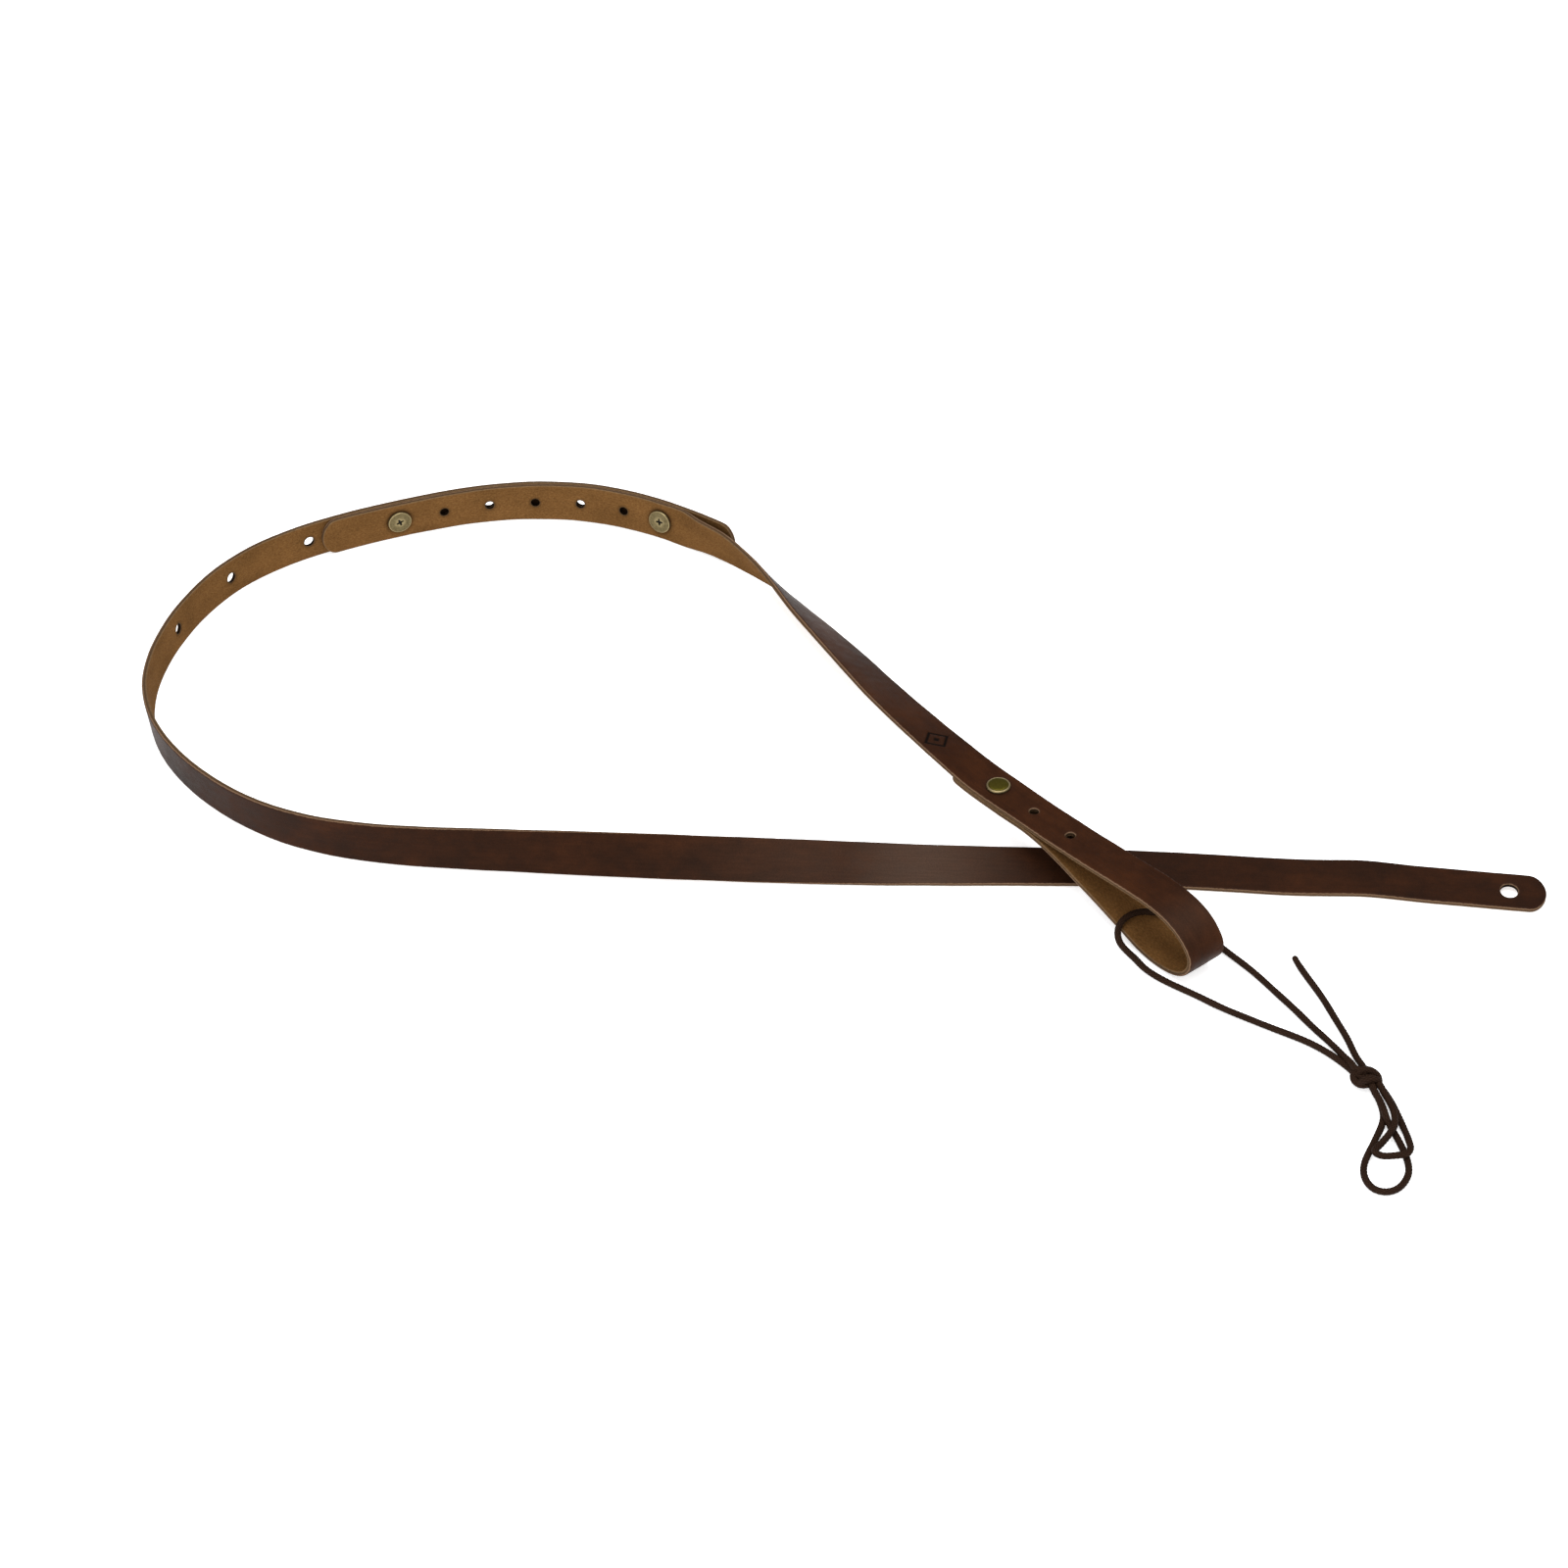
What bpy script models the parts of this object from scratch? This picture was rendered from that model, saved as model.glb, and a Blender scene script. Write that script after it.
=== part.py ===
# Slim leather guitar strap with a screw-set length adjuster, a folded end loop and a braided lace,
# laid out on a table.
#
# Frame: +Z up, the table is z = 0, X runs along the front run of the strap, Y away from it.
# All design sizes are in millimetres and are turned into metres when a mesh is written.
import math

import bpy
import numpy as np
from mathutils.geometry import delaunay_2d_cdt

MM = 0.001
ORIGIN = np.array([16.745, -20.94, 0.0])    # middle of the footprint, on the table

# ---- leather ---------------------------------------------------------------------------------
STRAP_W = 19.0
LEATHER = 2.2           # thickness of one ply
EDGE = LEATHER / 2      # middle surface to either face
PLY_GAP = 0.3           # air between two plies clamped together
PLY_STEP = LEATHER + PLY_GAP
END_R = 11.0            # arc that rounds every free end
HOLE_PITCH = 22.5       # of the short strap's holes; the long strap has every second one
POST_HOLE_R = 3.0
BUTTON_HOLE_R = 3.7     # hole that goes over a strap button
END_TO_HOLE = 39.0      # free end to its first adjuster hole
FIRST_IN = 2.3          # the hole nearest the long strap's inner end is this much past its pitch
BUTTON_FROM_TIP = 15.5
FOLD_TAIL = 24.4        # fold-back end past its screw
HOLE_STEPS = 6          # pitches between the first and last holes where the straps overlap
OVERLAP = END_TO_HOLE + HOLE_STEPS * HOLE_PITCH + END_TO_HOLE   # one inner end to the other
LEAVE = 28.0            # the short strap leaves the long one this far before its inner end
RIDE_STEP = 8.0         # spacing of the short strap's points along the long one
TABLE_GAP = 0.02        # least height of the short strap where it rides on the long one

# ---- strap links -----------------------------------------------------------------------------
CUT_GAP = 0.3
END_LINK = 138.0        # long strap's lifting end, measured from the tip
TIP_LINK = 60.0         # long strap's lifting tip
FLAT_TIP = 48.085       # the last stretch of the long strap, round its button hole, lies dead flat
LOOP_LINK = 92.0        # short strap's loop link starts this far before its screw

# ---- two-part screws -------------------------------------------------------------------------
POST_R, POST_BORE_R = 2.5, 2.05
BORE_FLOOR = 0.3        # thickness left between the bore and the cap's seat
CAP_R, CAP_H = 5.2, 1.7
CAP_BEVEL_IN, CAP_BEVEL_DOWN = 0.5, 0.4
SHAFT_R, SHAFT_BEVEL = 1.75, 0.3
HEAD_R, HEAD_H, HEAD_BEVEL = 5.7, 1.3, 0.45
RECESS_DEEP = 0.8
RECESS_ARM = 1.9        # reach of one arm of the cross
RECESS_ROOT, RECESS_TIP = 0.42, 0.3     # half widths of an arm at its root and tip
RECESS_TAPER = 0.8      # size of the recess floor against its rim
SEAT_GAP = 0.5          # head or cap to leather, so that a curved ply clears it
BARREL_SHORT = 0.6      # barrel's mouth to the head's seat
SHAFT_SHORT = 0.7       # shaft's end to the cap's seat

# ---- lace ------------------------------------------------------------------------------------
LACE_R = 1.4
TAIL_START_R = 0.9      # the tail's free end is thinner
TAIL_TAPER = 0.06       # radius gained per length
LACE_TABLE_GAP = 0.03
KNOT_AT = (228.8, -188.2, 4.3)
KNOT_SIZE = (7.4, 5.0, 4.2)     # half lengths: across the strands, along them, height
KNOT_TURN = math.radians(-28.0)
KNOT_GAP = 0.4          # room between the knot and the tether
FLEX_GAP = 1.3          # room at the knot for a lace end to swing
LACE_PIVOT = (146.2, -94.2, 9.5)
BOW_PIVOT = (233.4, -193.8, 3.0)

# ---- mesh resolution -------------------------------------------------------------------------
SAMPLE = 0.5            # spacing of the fine points along a strap
STATION_FAR = 9.0       # farthest apart two strap stations may be
STATION_TURN = math.radians(8)  # bend or twist that calls for a new station
LAST_STATION = 2.0      # a station closer than this to the end is dropped
END_ARC_POINTS = 9
HOLE_SIDES = 14
SCREW_SIDES = 20
LACE_SIDES = 8
LACE_SAMPLES = 900
LACE_STEP = 5.0         # farthest apart two lace rings may be, give or take a sample
LACE_TURN = math.radians(20)    # bend that calls for a new lace ring
LACE_LAST_RING = 1.0    # a ring closer than this to the end is dropped
KNOT_SIDES, KNOT_BANDS = 14, 7

# ---- finishes --------------------------------------------------------------------------------
LEATHER_FINISH = dict(colour=(0.055, 0.025, 0.014), roughness=0.5, metallic=0.0)
BRASS_FINISH = dict(colour=(0.30, 0.23, 0.10), roughness=0.35, metallic=1.0)
LACE_FINISH = dict(colour=(0.022, 0.011, 0.007), roughness=0.75, metallic=0.0)

# ---- how the pieces lie ----------------------------------------------------------------------
# Long strap: lower edge x, y and outward lean from upright in degrees, from the inner end to the
# tip. It stands on edge round the left turn and rolls over until its grain side faces up.
LONG_LAY = [
    (-23.4, 167.1, 2), (-55.6, 188.9, 3), (-90.2, 203.1, 3), (-137.2, 205.4, -1),
    (-183.7, 192.2, -4), (-226.3, 171.5, -3), (-254.6, 147.6, -1), (-273.6, 114.4, 1),
    (-283.0, 77.4, 3), (-283.0, 49.2, 5), (-274.9, 22.3, 6), (-259.2, -2.4, 6),
    (-239.5, -22.5, 5), (-216.2, -38.2, 3), (-180.1, -51.0, -3), (-133.2, -57.5, -13),
    (-77.0, -62.5, -27), (-10.6, -67.0, -48), (55.9, -68.7, -68), (122.5, -69.0, -78),
    (188.9, -72.8, -81), (211.0, -74.8, -81), (224.0, -75.3, -81.5), (236.0, -75.4, -82),
    (243.0, -75.6, -82), (249.5, -76.4, -82), (261.5, -78.5, -82), (271.5, -80.0, -82),
    (319.01, -84.96, -82),
]
# Short strap from where it leaves the long one to the loop screw: centre line x, y, z, then the
# azimuth and elevation of the line across it, in degrees. It tips over sideways as it climbs.
SHORT_LAY = [
    (-39.6, 174.2, 10.6, -137, 82), (-27.9, 164.1, 10.8, -135, 76),
    (-17.7, 153.1, 10.6, -138, 68), (-8.0, 141.3, 10.3, -144, 58),
    (0.0, 128.6, 10.1, -150, 49), (9.2, 112.2, 10.4, -152, 38),
    (18.7, 95.4, 11.2, -153, 30), (31.8, 70.5, 13.3, -155, 21),
    (44.7, 45.0, 15.9, -154, 14), (58.6, 20.1, 18.4, -150, 9),
    (73.4, -3.9, 20.1, -146, 4), (84.3, -19.8, 20.7, -142, 0),
    (91.5, -29.0, 21.0, -140, -1),
]
# The loop bends in one upright plane through the loop screw: distance from the screw, height.
LOOP_HEADING = math.radians(-50.8)
LOOP_UPPER = [(16, 21.6), (32, 22.4), (48, 23.4), (64, 24.7), (82, 26.5), (98, 27.6)]
LOOP_NOSE = [(109, 26.9), (117.5, 24.2), (123, 20), (126, 15.4), (126, 11), (123.5, 6.6),
             (118.5, 3.2), (111.5, 1.5), (104, 1.35)]
LOOP_LOWER = [(96, 2.6), (88, 5.2), (77, 8.4), (63, 12.4), (50, 15.9), (38, 18.6)]
# The fold-back ply follows the upper one: places before its screw and after it, and its end.
FOLD_BEFORE, FOLD_AFTER = (24.0, 12.0), (-11.0, -FOLD_TAIL)

# Lace centre lines: x, y, z.
# The tether runs from the knot along the near strand, through the loop and back along the far one.
LACE_TETHER = [
    (225.3, -185, 2.8), (223.9, -181.2, 1.7), (221.2, -177.2, 1.45), (210, -166.2, 1.45),
    (196.8, -158, 1.45), (186.1, -151.4, 1.45), (176.3, -145, 1.45), (167.8, -138.5, 1.45),
    (156.1, -130, 1.45), (147.7, -121.7, 1.45), (142.1, -112.7, 1.6), (138, -107.9, 4.6),
    (138.3, -103.1, 8.4), (142.1, -98.7, 9.6), (147.5, -95.5, 9.2), (153.5, -94.3, 8),
    (159.7, -93.1, 6), (165.9, -93.3, 3), (172.6, -97.4, 1.6), (178, -105.3, 1.45),
    (185.2, -115.1, 1.45), (192.4, -124.6, 1.45), (199.3, -135.4, 1.45), (206.4, -146.7, 1.45),
    (213.1, -158.1, 1.45), (219.6, -168.8, 1.7), (222.3, -175, 2.7), (225, -181.2, 3.7),
    (226.1, -184.5, 4.6),
]
# The tail runs from its free end to the knot.
LACE_TAIL = [
    (209.6, -114.5, 1.45), (211.4, -120.6, 1.45), (217.9, -138.3, 1.45), (222.5, -153.6, 1.45),
    (225.7, -165.1, 1.45), (227.9, -175.6, 1.7), (229.6, -180.2, 2.2),
]
# The two bows leave the knot and come back to it.
LACE_RING = [
    (232, -192.8, 1.45), (233.3, -198.1, 1.45), (233.9, -202.9, 1.45), (233.9, -207.2, 1.45),
    (232.9, -211.8, 1.45), (231.5, -215.4, 1.45), (229.5, -219.6, 1.45), (227.2, -224.5, 1.45),
    (224.9, -229.2, 1.45), (223, -234, 1.45), (222.2, -238.7, 1.45), (222.9, -243.6, 1.45),
    (225.3, -247.3, 1.45), (229.3, -248.7, 1.45), (233.6, -247.3, 1.45), (237.4, -243.1, 1.45),
    (239.5, -238.2, 1.45), (239.9, -232.9, 1.45), (239.3, -227.6, 1.45), (238.2, -222.3, 1.45),
    (237.1, -218, 1.45), (236.2, -215.1, 1.5), (235.5, -213.3, 2.15), (234.6, -211.7, 3.5),
    (234, -208.9, 4.35), (233.5, -205.2, 4.4), (232.7, -201.3, 4.4), (231.5, -196.9, 4.4),
]
LACE_TRIANGLE = [
    (235.7, -193, 1.45), (237.3, -197.4, 1.45), (238.6, -202.3, 1.45), (239.6, -207.2, 1.45),
    (240.6, -212.7, 1.45), (241.2, -218.7, 2.6), (241.4, -224.9, 4), (241.2, -228.6, 4.35),
    (239.6, -231, 4.4), (236.5, -232, 4.4), (232.6, -232.5, 4.4), (229.3, -232.2, 4.4),
    (227.4, -230.4, 4.4), (229.1, -227.2, 4.4), (232, -223.5, 4.4), (234.6, -220, 4.65),
    (236.7, -216.1, 4.6), (237.5, -211.9, 4.4), (237.5, -207.5, 4.4), (236.6, -202.6, 4.4),
    (235.2, -197.7, 4.4),
]


# ---- curves ------------------------------------------------------------------------------------
def unit(v):
    return v / np.linalg.norm(v, axis=-1, keepdims=True) if False else v / np.linalg.norm(
        v, axis=-1, keepdims=True)


def spline(knots, rows, at):
    """Natural cubic spline through rows of values at rising knots."""
    last = len(knots) - 1
    gaps = np.diff(knots)
    system, target = np.eye(last + 1), np.zeros_like(rows)
    for i in range(1, last):
        before, after = gaps[i - 1], gaps[i]
        system[i, i - 1:i + 2] = before, 2 * (before + after), after
        target[i] = 6 * ((rows[i + 1] - rows[i]) / after - (rows[i] - rows[i - 1]) / before)
    bend = np.linalg.solve(system, target)
    i = np.clip(np.searchsorted(knots, at) - 1, 0, last - 1)
    past, gap = (at - knots[i])[:, None], gaps[i][:, None]
    slope = (rows[i + 1] - rows[i]) / gap - gap * (2 * bend[i] + bend[i + 1]) / 6
    return (rows[i] + past * slope + past ** 2 * bend[i] / 2
            + past ** 3 * (bend[i + 1] - bend[i]) / (6 * gap))


def chords(points):
    """Length along a polyline at each of its points."""
    return np.concatenate([[0.0], np.cumsum(np.linalg.norm(np.diff(points, axis=0), axis=1))])


def samples(length):
    return np.append(np.arange(0.0, length, SAMPLE), length)


class Band:
    """A strap's middle surface: a centre line with a unit vector across it, looked up by length.

    side is 1 where the grain faces ahead x across, and -1 where it faces the other way.
    """

    def __init__(self, centre, across, side):
        self.centre = centre
        self.lengths = chords(centre)
        ahead = unit(np.gradient(centre, self.lengths, axis=0))
        ahead[-1] = unit(centre[-1] - centre[-2])
        self.ahead = ahead
        self.across = unit(across - (across * ahead).sum(1)[:, None] * ahead)
        self.grain = side * np.cross(ahead, self.across)

    def look(self, table, length):
        return np.stack([np.interp(length, self.lengths, table[:, k]) for k in range(3)], -1)

    def frame(self, length):
        """Centre, across and grain-side vectors at one length or at several."""
        across = unit(self.look(self.across, length))
        grain = self.look(self.grain, length)
        grain = unit(grain - (grain * across).sum(-1, keepdims=True) * across)
        return self.look(self.centre, length), across, grain

    def at(self, length, aside, height):
        """Point at a length, aside from the centre line and at a height towards the grain."""
        centre, across, grain = self.frame(length)
        return (centre + np.asarray(aside)[..., None] * across
                + np.asarray(height)[..., None] * grain)

    def nearest(self, point, start, end):
        """Length between start and end at which the centre line is nearest a point."""
        pick = (self.lengths >= start) & (self.lengths <= end)
        away = np.linalg.norm(self.centre[pick] - point, axis=1)
        i = np.flatnonzero(pick)[np.argmin(away)]
        return float(self.lengths[i] + (point - self.centre[i]) @ self.ahead[i])


# ---- lay of the straps -------------------------------------------------------------------------
def lay_long_strap():
    lay = np.array(LONG_LAY, float)
    knots = chords(lay[:, :2])
    at = samples(knots[-1])
    xy = spline(knots, lay[:, :2], at)
    lean = np.radians(spline(knots, lay[:, 2:], at)[:, 0])
    ahead = unit(np.gradient(xy, at, axis=0))
    out = np.stack([ahead[:, 1], -ahead[:, 0], 0 * lean], 1)
    across = out * np.sin(lean)[:, None] + np.array([0, 0, 1.0]) * np.cos(lean)[:, None]
    # the lower corner of the cut edge is what rests on the table
    edge = np.column_stack([xy, LEATHER / 2 * np.abs(np.sin(lean))])
    centre = edge + across * STRAP_W / 2
    # the tip runs straight on from where the bent part stops
    bent = at <= at[-1] - FLAT_TIP
    centre, across = centre[bent], across[bent]
    tip_ahead = np.append(ahead[bent][-1], 0.0)
    centre = np.vstack([centre, centre[-1] + tip_ahead * FLAT_TIP / 2,
                        centre[-1] + tip_ahead * FLAT_TIP])
    return Band(centre, np.vstack([across, across[-1], across[-1]]), 1)


def lay_short_strap(long_band):
    """The short strap's band, and the lengths of its loop screw hole and fold-back hole."""
    # it first rides on the long strap's flesh side, lifted where it would sink into the table
    ride, across, grain = long_band.frame(np.arange(OVERLAP, LEAVE - 0.1, -RIDE_STEP))
    ride = ride - grain * PLY_STEP
    low = (ride - across * STRAP_W / 2)[:, 2] - LEATHER / 2 * np.abs(grain[:, 2])
    centres = list(ride + across * np.maximum(TABLE_GAP - low, 0)[:, None])
    acrosses = list(across)
    for x, y, z, azimuth, elevation in SHORT_LAY:
        azimuth, elevation = math.radians(azimuth), math.radians(elevation)
        centres.append(np.array([x, y, z]))
        acrosses.append(np.array([math.cos(elevation) * math.cos(azimuth),
                                  math.cos(elevation) * math.sin(azimuth),
                                  math.sin(elevation)]))
    screw_at = centres[-1]
    foot = np.array([screw_at[0], screw_at[1], 0.0])
    heading = np.array([math.cos(LOOP_HEADING), math.sin(LOOP_HEADING), 0])
    level = np.array([math.sin(LOOP_HEADING), -math.cos(LOOP_HEADING), 0])

    def add(profile):
        for distance, z in profile:
            centres.append(foot + heading * distance + np.array([0, 0, z]))
            acrosses.append(level)

    def band():
        rows = np.array(centres)
        knots = chords(rows)
        at = samples(knots[-1])
        return Band(spline(knots, rows, at), spline(knots, np.array(acrosses), at), -1)

    add(LOOP_UPPER)
    upper = band()
    upper_screw = upper.nearest(screw_at, OVERLAP, math.inf)
    add(LOOP_NOSE + LOOP_LOWER)
    fold_at = len(centres) + len(FOLD_BEFORE)
    for offset in (*FOLD_BEFORE, 0.0, *FOLD_AFTER):
        centre, across, grain = upper.frame(upper_screw + offset)
        centres.append(centre - grain * PLY_STEP)
        acrosses.append(across)
    whole = band()
    # the search windows keep the upper ply apart from the folded one
    return (whole, whole.nearest(screw_at, OVERLAP, upper_screw + 20),
            whole.nearest(centres[fold_at], upper_screw + 150, math.inf))


def hole_from_inner_end(step):
    """Length along the long strap of a hole place, in short-strap pitches from the first."""
    return END_TO_HOLE + HOLE_PITCH * step + (FIRST_IN if step == 0 else 0)


LONG = lay_long_strap()
LONG_LEN = float(LONG.lengths[-1])
LONG_HOLES = [hole_from_inner_end(2 * k) for k in range(7)]
SHORT, LOOP_SCREW, FOLD_HOLE = lay_short_strap(LONG)
SHORT_LEN = float(SHORT.lengths[-1])
# each hole of the short strap lies behind a hole place of the long strap
SHORT_HOLES = [SHORT.nearest(LONG.at(hole_from_inner_end(step), 0.0, -PLY_STEP), 0, OVERLAP)
               for step in reversed(range(HOLE_STEPS + 1))]
LOOP_HOLES = [LOOP_SCREW + HOLE_PITCH * k for k in range(3)]


# ---- mesh helpers ------------------------------------------------------------------------------
def make_material(name, colour, roughness, metallic):
    material = bpy.data.materials.new(name)
    material.use_nodes = True
    shader = material.node_tree.nodes["Principled BSDF"]
    shader.inputs["Base Color"].default_value = (*colour, 1.0)
    shader.inputs["Roughness"].default_value = roughness
    shader.inputs["Metallic"].default_value = metallic
    return material


def put(name, verts, faces, finish, pivot=None):
    """Write one named body in metres, with its origin on its pivot."""
    verts = verts - ORIGIN
    base = np.zeros(3) if pivot is None else np.asarray(pivot, float) - ORIGIN
    mesh = bpy.data.meshes.new(name)
    mesh.from_pydata([tuple(p) for p in (verts - base) * MM], [],
                     [tuple(int(i) for i in face) for face in faces])
    mesh.update()
    body = bpy.data.objects.new(name, mesh)
    body.location = tuple(base * MM)
    bpy.context.scene.collection.objects.link(body)
    mesh.materials.append(make_material(name, **finish))


def inside(point, loop):
    """Whether a point is inside a closed loop."""
    x, y = loop[:, 0], loop[:, 1]
    next_x, next_y = np.roll(x, -1), np.roll(y, -1)
    crosses = (y > point[1]) != (next_y > point[1])
    with np.errstate(divide="ignore", invalid="ignore"):
        at = x + (point[1] - y) * (next_x - x) / (next_y - y)
    return bool((crosses & (point[0] < at)).sum() % 2)


def cut_flat(loops):
    """Points and triangles of a flat area bounded by closed loops; those after the first are holes."""
    points, edges = [], []
    for loop in loops:
        first = len(points)
        points += [tuple(p) for p in loop]
        edges += [(first + i, first + (i + 1) % len(loop)) for i in range(len(loop))]
    flat, _, triangles, sources, _, _ = delaunay_2d_cdt(points, edges, [], 0, 1e-6)
    flat = [np.array(tuple(p)) for p in flat]
    source_of = {i: j for i, found in enumerate(sources) for j in found}
    faces = []
    for triangle in triangles:
        a, b, c = (flat[i] for i in triangle)
        middle = (a + b + c) / 3
        if not inside(middle, loops[0]) or any(inside(middle, hole) for hole in loops[1:]):
            continue
        if (b - a)[0] * (c - a)[1] - (b - a)[1] * (c - a)[0] < 0:
            triangle = triangle[::-1]
        faces.append([source_of[i] for i in triangle])
    return np.array(points), faces


def circle(x, radius, count):
    angle = np.arange(count) * 2 * math.pi / count
    return np.column_stack([x + radius * np.cos(angle), radius * np.sin(angle)])


def ring_walls(ring_count, sides):
    """Quads between neighbouring rings of points."""
    return [(k * sides + i, (k + 1) * sides + i,
             (k + 1) * sides + (i + 1) % sides, k * sides + (i + 1) % sides)
            for k in range(ring_count - 1) for i in range(sides)]


def last_cap(ring_count, sides):
    return tuple(reversed([(ring_count - 1) * sides + i for i in range(sides)]))


def closed_rings(ring_count, sides):
    """Walls of a stack of rings with a cap on the first ring and on the last."""
    return ring_walls(ring_count, sides) + [tuple(range(sides)), last_cap(ring_count, sides)]


# ---- straps ------------------------------------------------------------------------------------
def angle_between(a, b):
    return np.arccos(np.clip(a @ b, -1, 1))


def stations(band, start, end):
    """Lengths along the band close enough together for its bends and twists."""
    at = np.arange(start, end, SAMPLE)
    _, across, grain = band.frame(at)
    ahead = np.cross(across, grain)
    out, last = [start], 0
    for i in range(1, len(at)):
        swing = max(angle_between(across[i], across[last]), angle_between(ahead[i], ahead[last]))
        if at[i] - at[last] >= STATION_FAR or swing >= STATION_TURN:
            out.append(float(at[i]))
            last = i
    if end - out[-1] < LAST_STATION and len(out) > 1:
        out.pop()
    return out + [end]


def end_arc(middle, facing):
    """Arc of a rounded end without its corners; facing is 1 at the far end and -1 at the near."""
    wide = math.asin(STRAP_W / 2 / END_R)
    sweep = np.linspace(-facing * wide, facing * wide, END_ARC_POINTS)[1:-1]
    return [(middle + facing * END_R * math.cos(w), END_R * math.sin(w)) for w in sweep]


def strap_piece(name, band, start, end, holes, round_start=False, round_end=False, pivot=None):
    """One length of strap, with holes given as (length, radius)."""
    half = STRAP_W / 2
    bow = END_R - math.sqrt(END_R ** 2 - half ** 2)
    along = stations(band, start + (bow if round_start else 0), end - (bow if round_end else 0))
    outline = [(x, -half) for x in along]
    if round_end:
        outline += end_arc(end - END_R, 1)
    outline += [(x, half) for x in reversed(along)]
    if round_start:
        outline += end_arc(start + END_R, -1)
    loops = [np.array(outline)] + [circle(x, radius, HOLE_SIDES) for x, radius in holes]
    flat, triangles = cut_flat(loops)
    count = len(flat)
    verts = np.concatenate([band.at(flat[:, 0], flat[:, 1], np.full(count, height))
                            for height in (EDGE, -EDGE)])
    faces = [tuple(t) for t in triangles] + [tuple(i + count for i in t[::-1]) for t in triangles]
    first = 0
    for number, loop in enumerate(loops):
        for i in range(len(loop)):
            p, q = first + i, first + (i + 1) % len(loop)
            wall = (p, p + count, q + count, q)
            faces.append(wall if number == 0 else wall[::-1])
        first += len(loop)
    # turn every face if the grain side would face into the leather
    a, b, c = (verts[i] for i in triangles[0])
    _, _, grain = band.frame(flat[triangles[0][0]][0])
    if np.dot(np.cross(b - a, c - a), grain) < 0:
        faces = [face[::-1] for face in faces]
    put(name, verts, faces, LEATHER_FINISH, pivot)


def crease(band, length):
    """Where a strap link turns: on the grain face, so that the far link lifts clear."""
    return band.at(length, 0.0, EDGE)


def build_long_strap():
    end_cut, tip_cut = LONG_LEN - END_LINK, LONG_LEN - TIP_LINK
    strap_piece("long_strap", LONG, 0.0, end_cut - CUT_GAP / 2,
                [(length, POST_HOLE_R) for length in LONG_HOLES], round_start=True)
    strap_piece("long_strap_end", LONG, end_cut + CUT_GAP / 2, tip_cut - CUT_GAP / 2, [],
                pivot=crease(LONG, end_cut))
    strap_piece("long_strap_tip", LONG, tip_cut + CUT_GAP / 2, LONG_LEN,
                [(LONG_LEN - BUTTON_FROM_TIP, BUTTON_HOLE_R)], round_end=True,
                pivot=crease(LONG, tip_cut))


def build_short_strap():
    loop_cut = LOOP_SCREW - LOOP_LINK
    strap_piece("short_strap", SHORT, 0.0, loop_cut - CUT_GAP / 2,
                [(length, POST_HOLE_R) for length in SHORT_HOLES], round_start=True)
    strap_piece("short_strap_loop", SHORT, loop_cut + CUT_GAP / 2, SHORT_LEN,
                [(length, POST_HOLE_R) for length in LOOP_HOLES + [FOLD_HOLE]], round_end=True,
                pivot=crease(SHORT, loop_cut))


# ---- screws ------------------------------------------------------------------------------------
def place(points, seat, axis):
    """Move points so that their z axis runs along an axis from a seat."""
    z = unit(axis)
    x = unit(np.cross((0.0, 0.0, 1.0) if abs(z[2]) < 0.9 else (1.0, 0.0, 0.0), z))
    return seat + points[:, :1] * x + points[:, 1:2] * np.cross(z, x) + points[:, 2:] * z


def turned(profile):
    """Rings of points round Z from (radius, height) pairs."""
    return np.concatenate([np.column_stack([circle(0, radius, SCREW_SIDES),
                                            np.full(SCREW_SIDES, z)]) for radius, z in profile])


def screw(name, seat, axis, reach):
    """Flat head with a cross recess, and a shaft that goes into the post. The seat is z = 0."""
    profile = [(HEAD_R - HEAD_BEVEL, HEAD_H), (HEAD_R, HEAD_H - HEAD_BEVEL), (HEAD_R, 0),
               (SHAFT_R, 0), (SHAFT_R, -reach + SHAFT_BEVEL), (SHAFT_R - SHAFT_BEVEL, -reach)]
    body = turned(profile)
    faces = ring_walls(len(profile), SCREW_SIDES)
    cross = []
    for quarter in range(4):
        c, s = math.cos(quarter * math.pi / 2), math.sin(quarter * math.pi / 2)
        cross += [(c * x - s * y, s * x + c * y)
                  for x, y in ((RECESS_ROOT, -RECESS_ROOT), (RECESS_ARM, -RECESS_TIP),
                               (RECESS_ARM, RECESS_TIP))]
    cross = np.array(cross)
    count, rim = len(cross), len(body)
    well = rim + count
    verts = np.concatenate([
        body,
        np.column_stack([cross, np.full(count, HEAD_H)]),
        np.column_stack([cross * RECESS_TAPER, np.full(count, HEAD_H - RECESS_DEEP)])])
    _, top = cut_flat([circle(0, HEAD_R - HEAD_BEVEL, SCREW_SIDES), cross])
    faces += [tuple(i if i < SCREW_SIDES else rim + i - SCREW_SIDES for i in t) for t in top]
    faces += [(rim + i, rim + (i + 1) % count, well + (i + 1) % count, well + i)
              for i in range(count)]
    _, floor = cut_flat([cross])
    faces += [tuple(well + i for i in t) for t in floor]
    faces.append(last_cap(len(profile), SCREW_SIDES))
    put(name, place(verts, seat, axis), faces, BRASS_FINISH, seat)


def post(name, seat, axis, reach):
    """Cap and blind barrel. The cap's seat is z = 0 and the barrel's mouth is at -reach."""
    profile = [(CAP_R - CAP_BEVEL_IN, CAP_H), (CAP_R, CAP_H - CAP_BEVEL_DOWN), (CAP_R, 0),
               (POST_R, 0), (POST_R, -reach), (POST_BORE_R, -reach), (POST_BORE_R, -BORE_FLOOR)]
    put(name, place(turned(profile), seat, axis), closed_rings(len(profile), SCREW_SIDES),
        BRASS_FINISH, seat)


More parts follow.
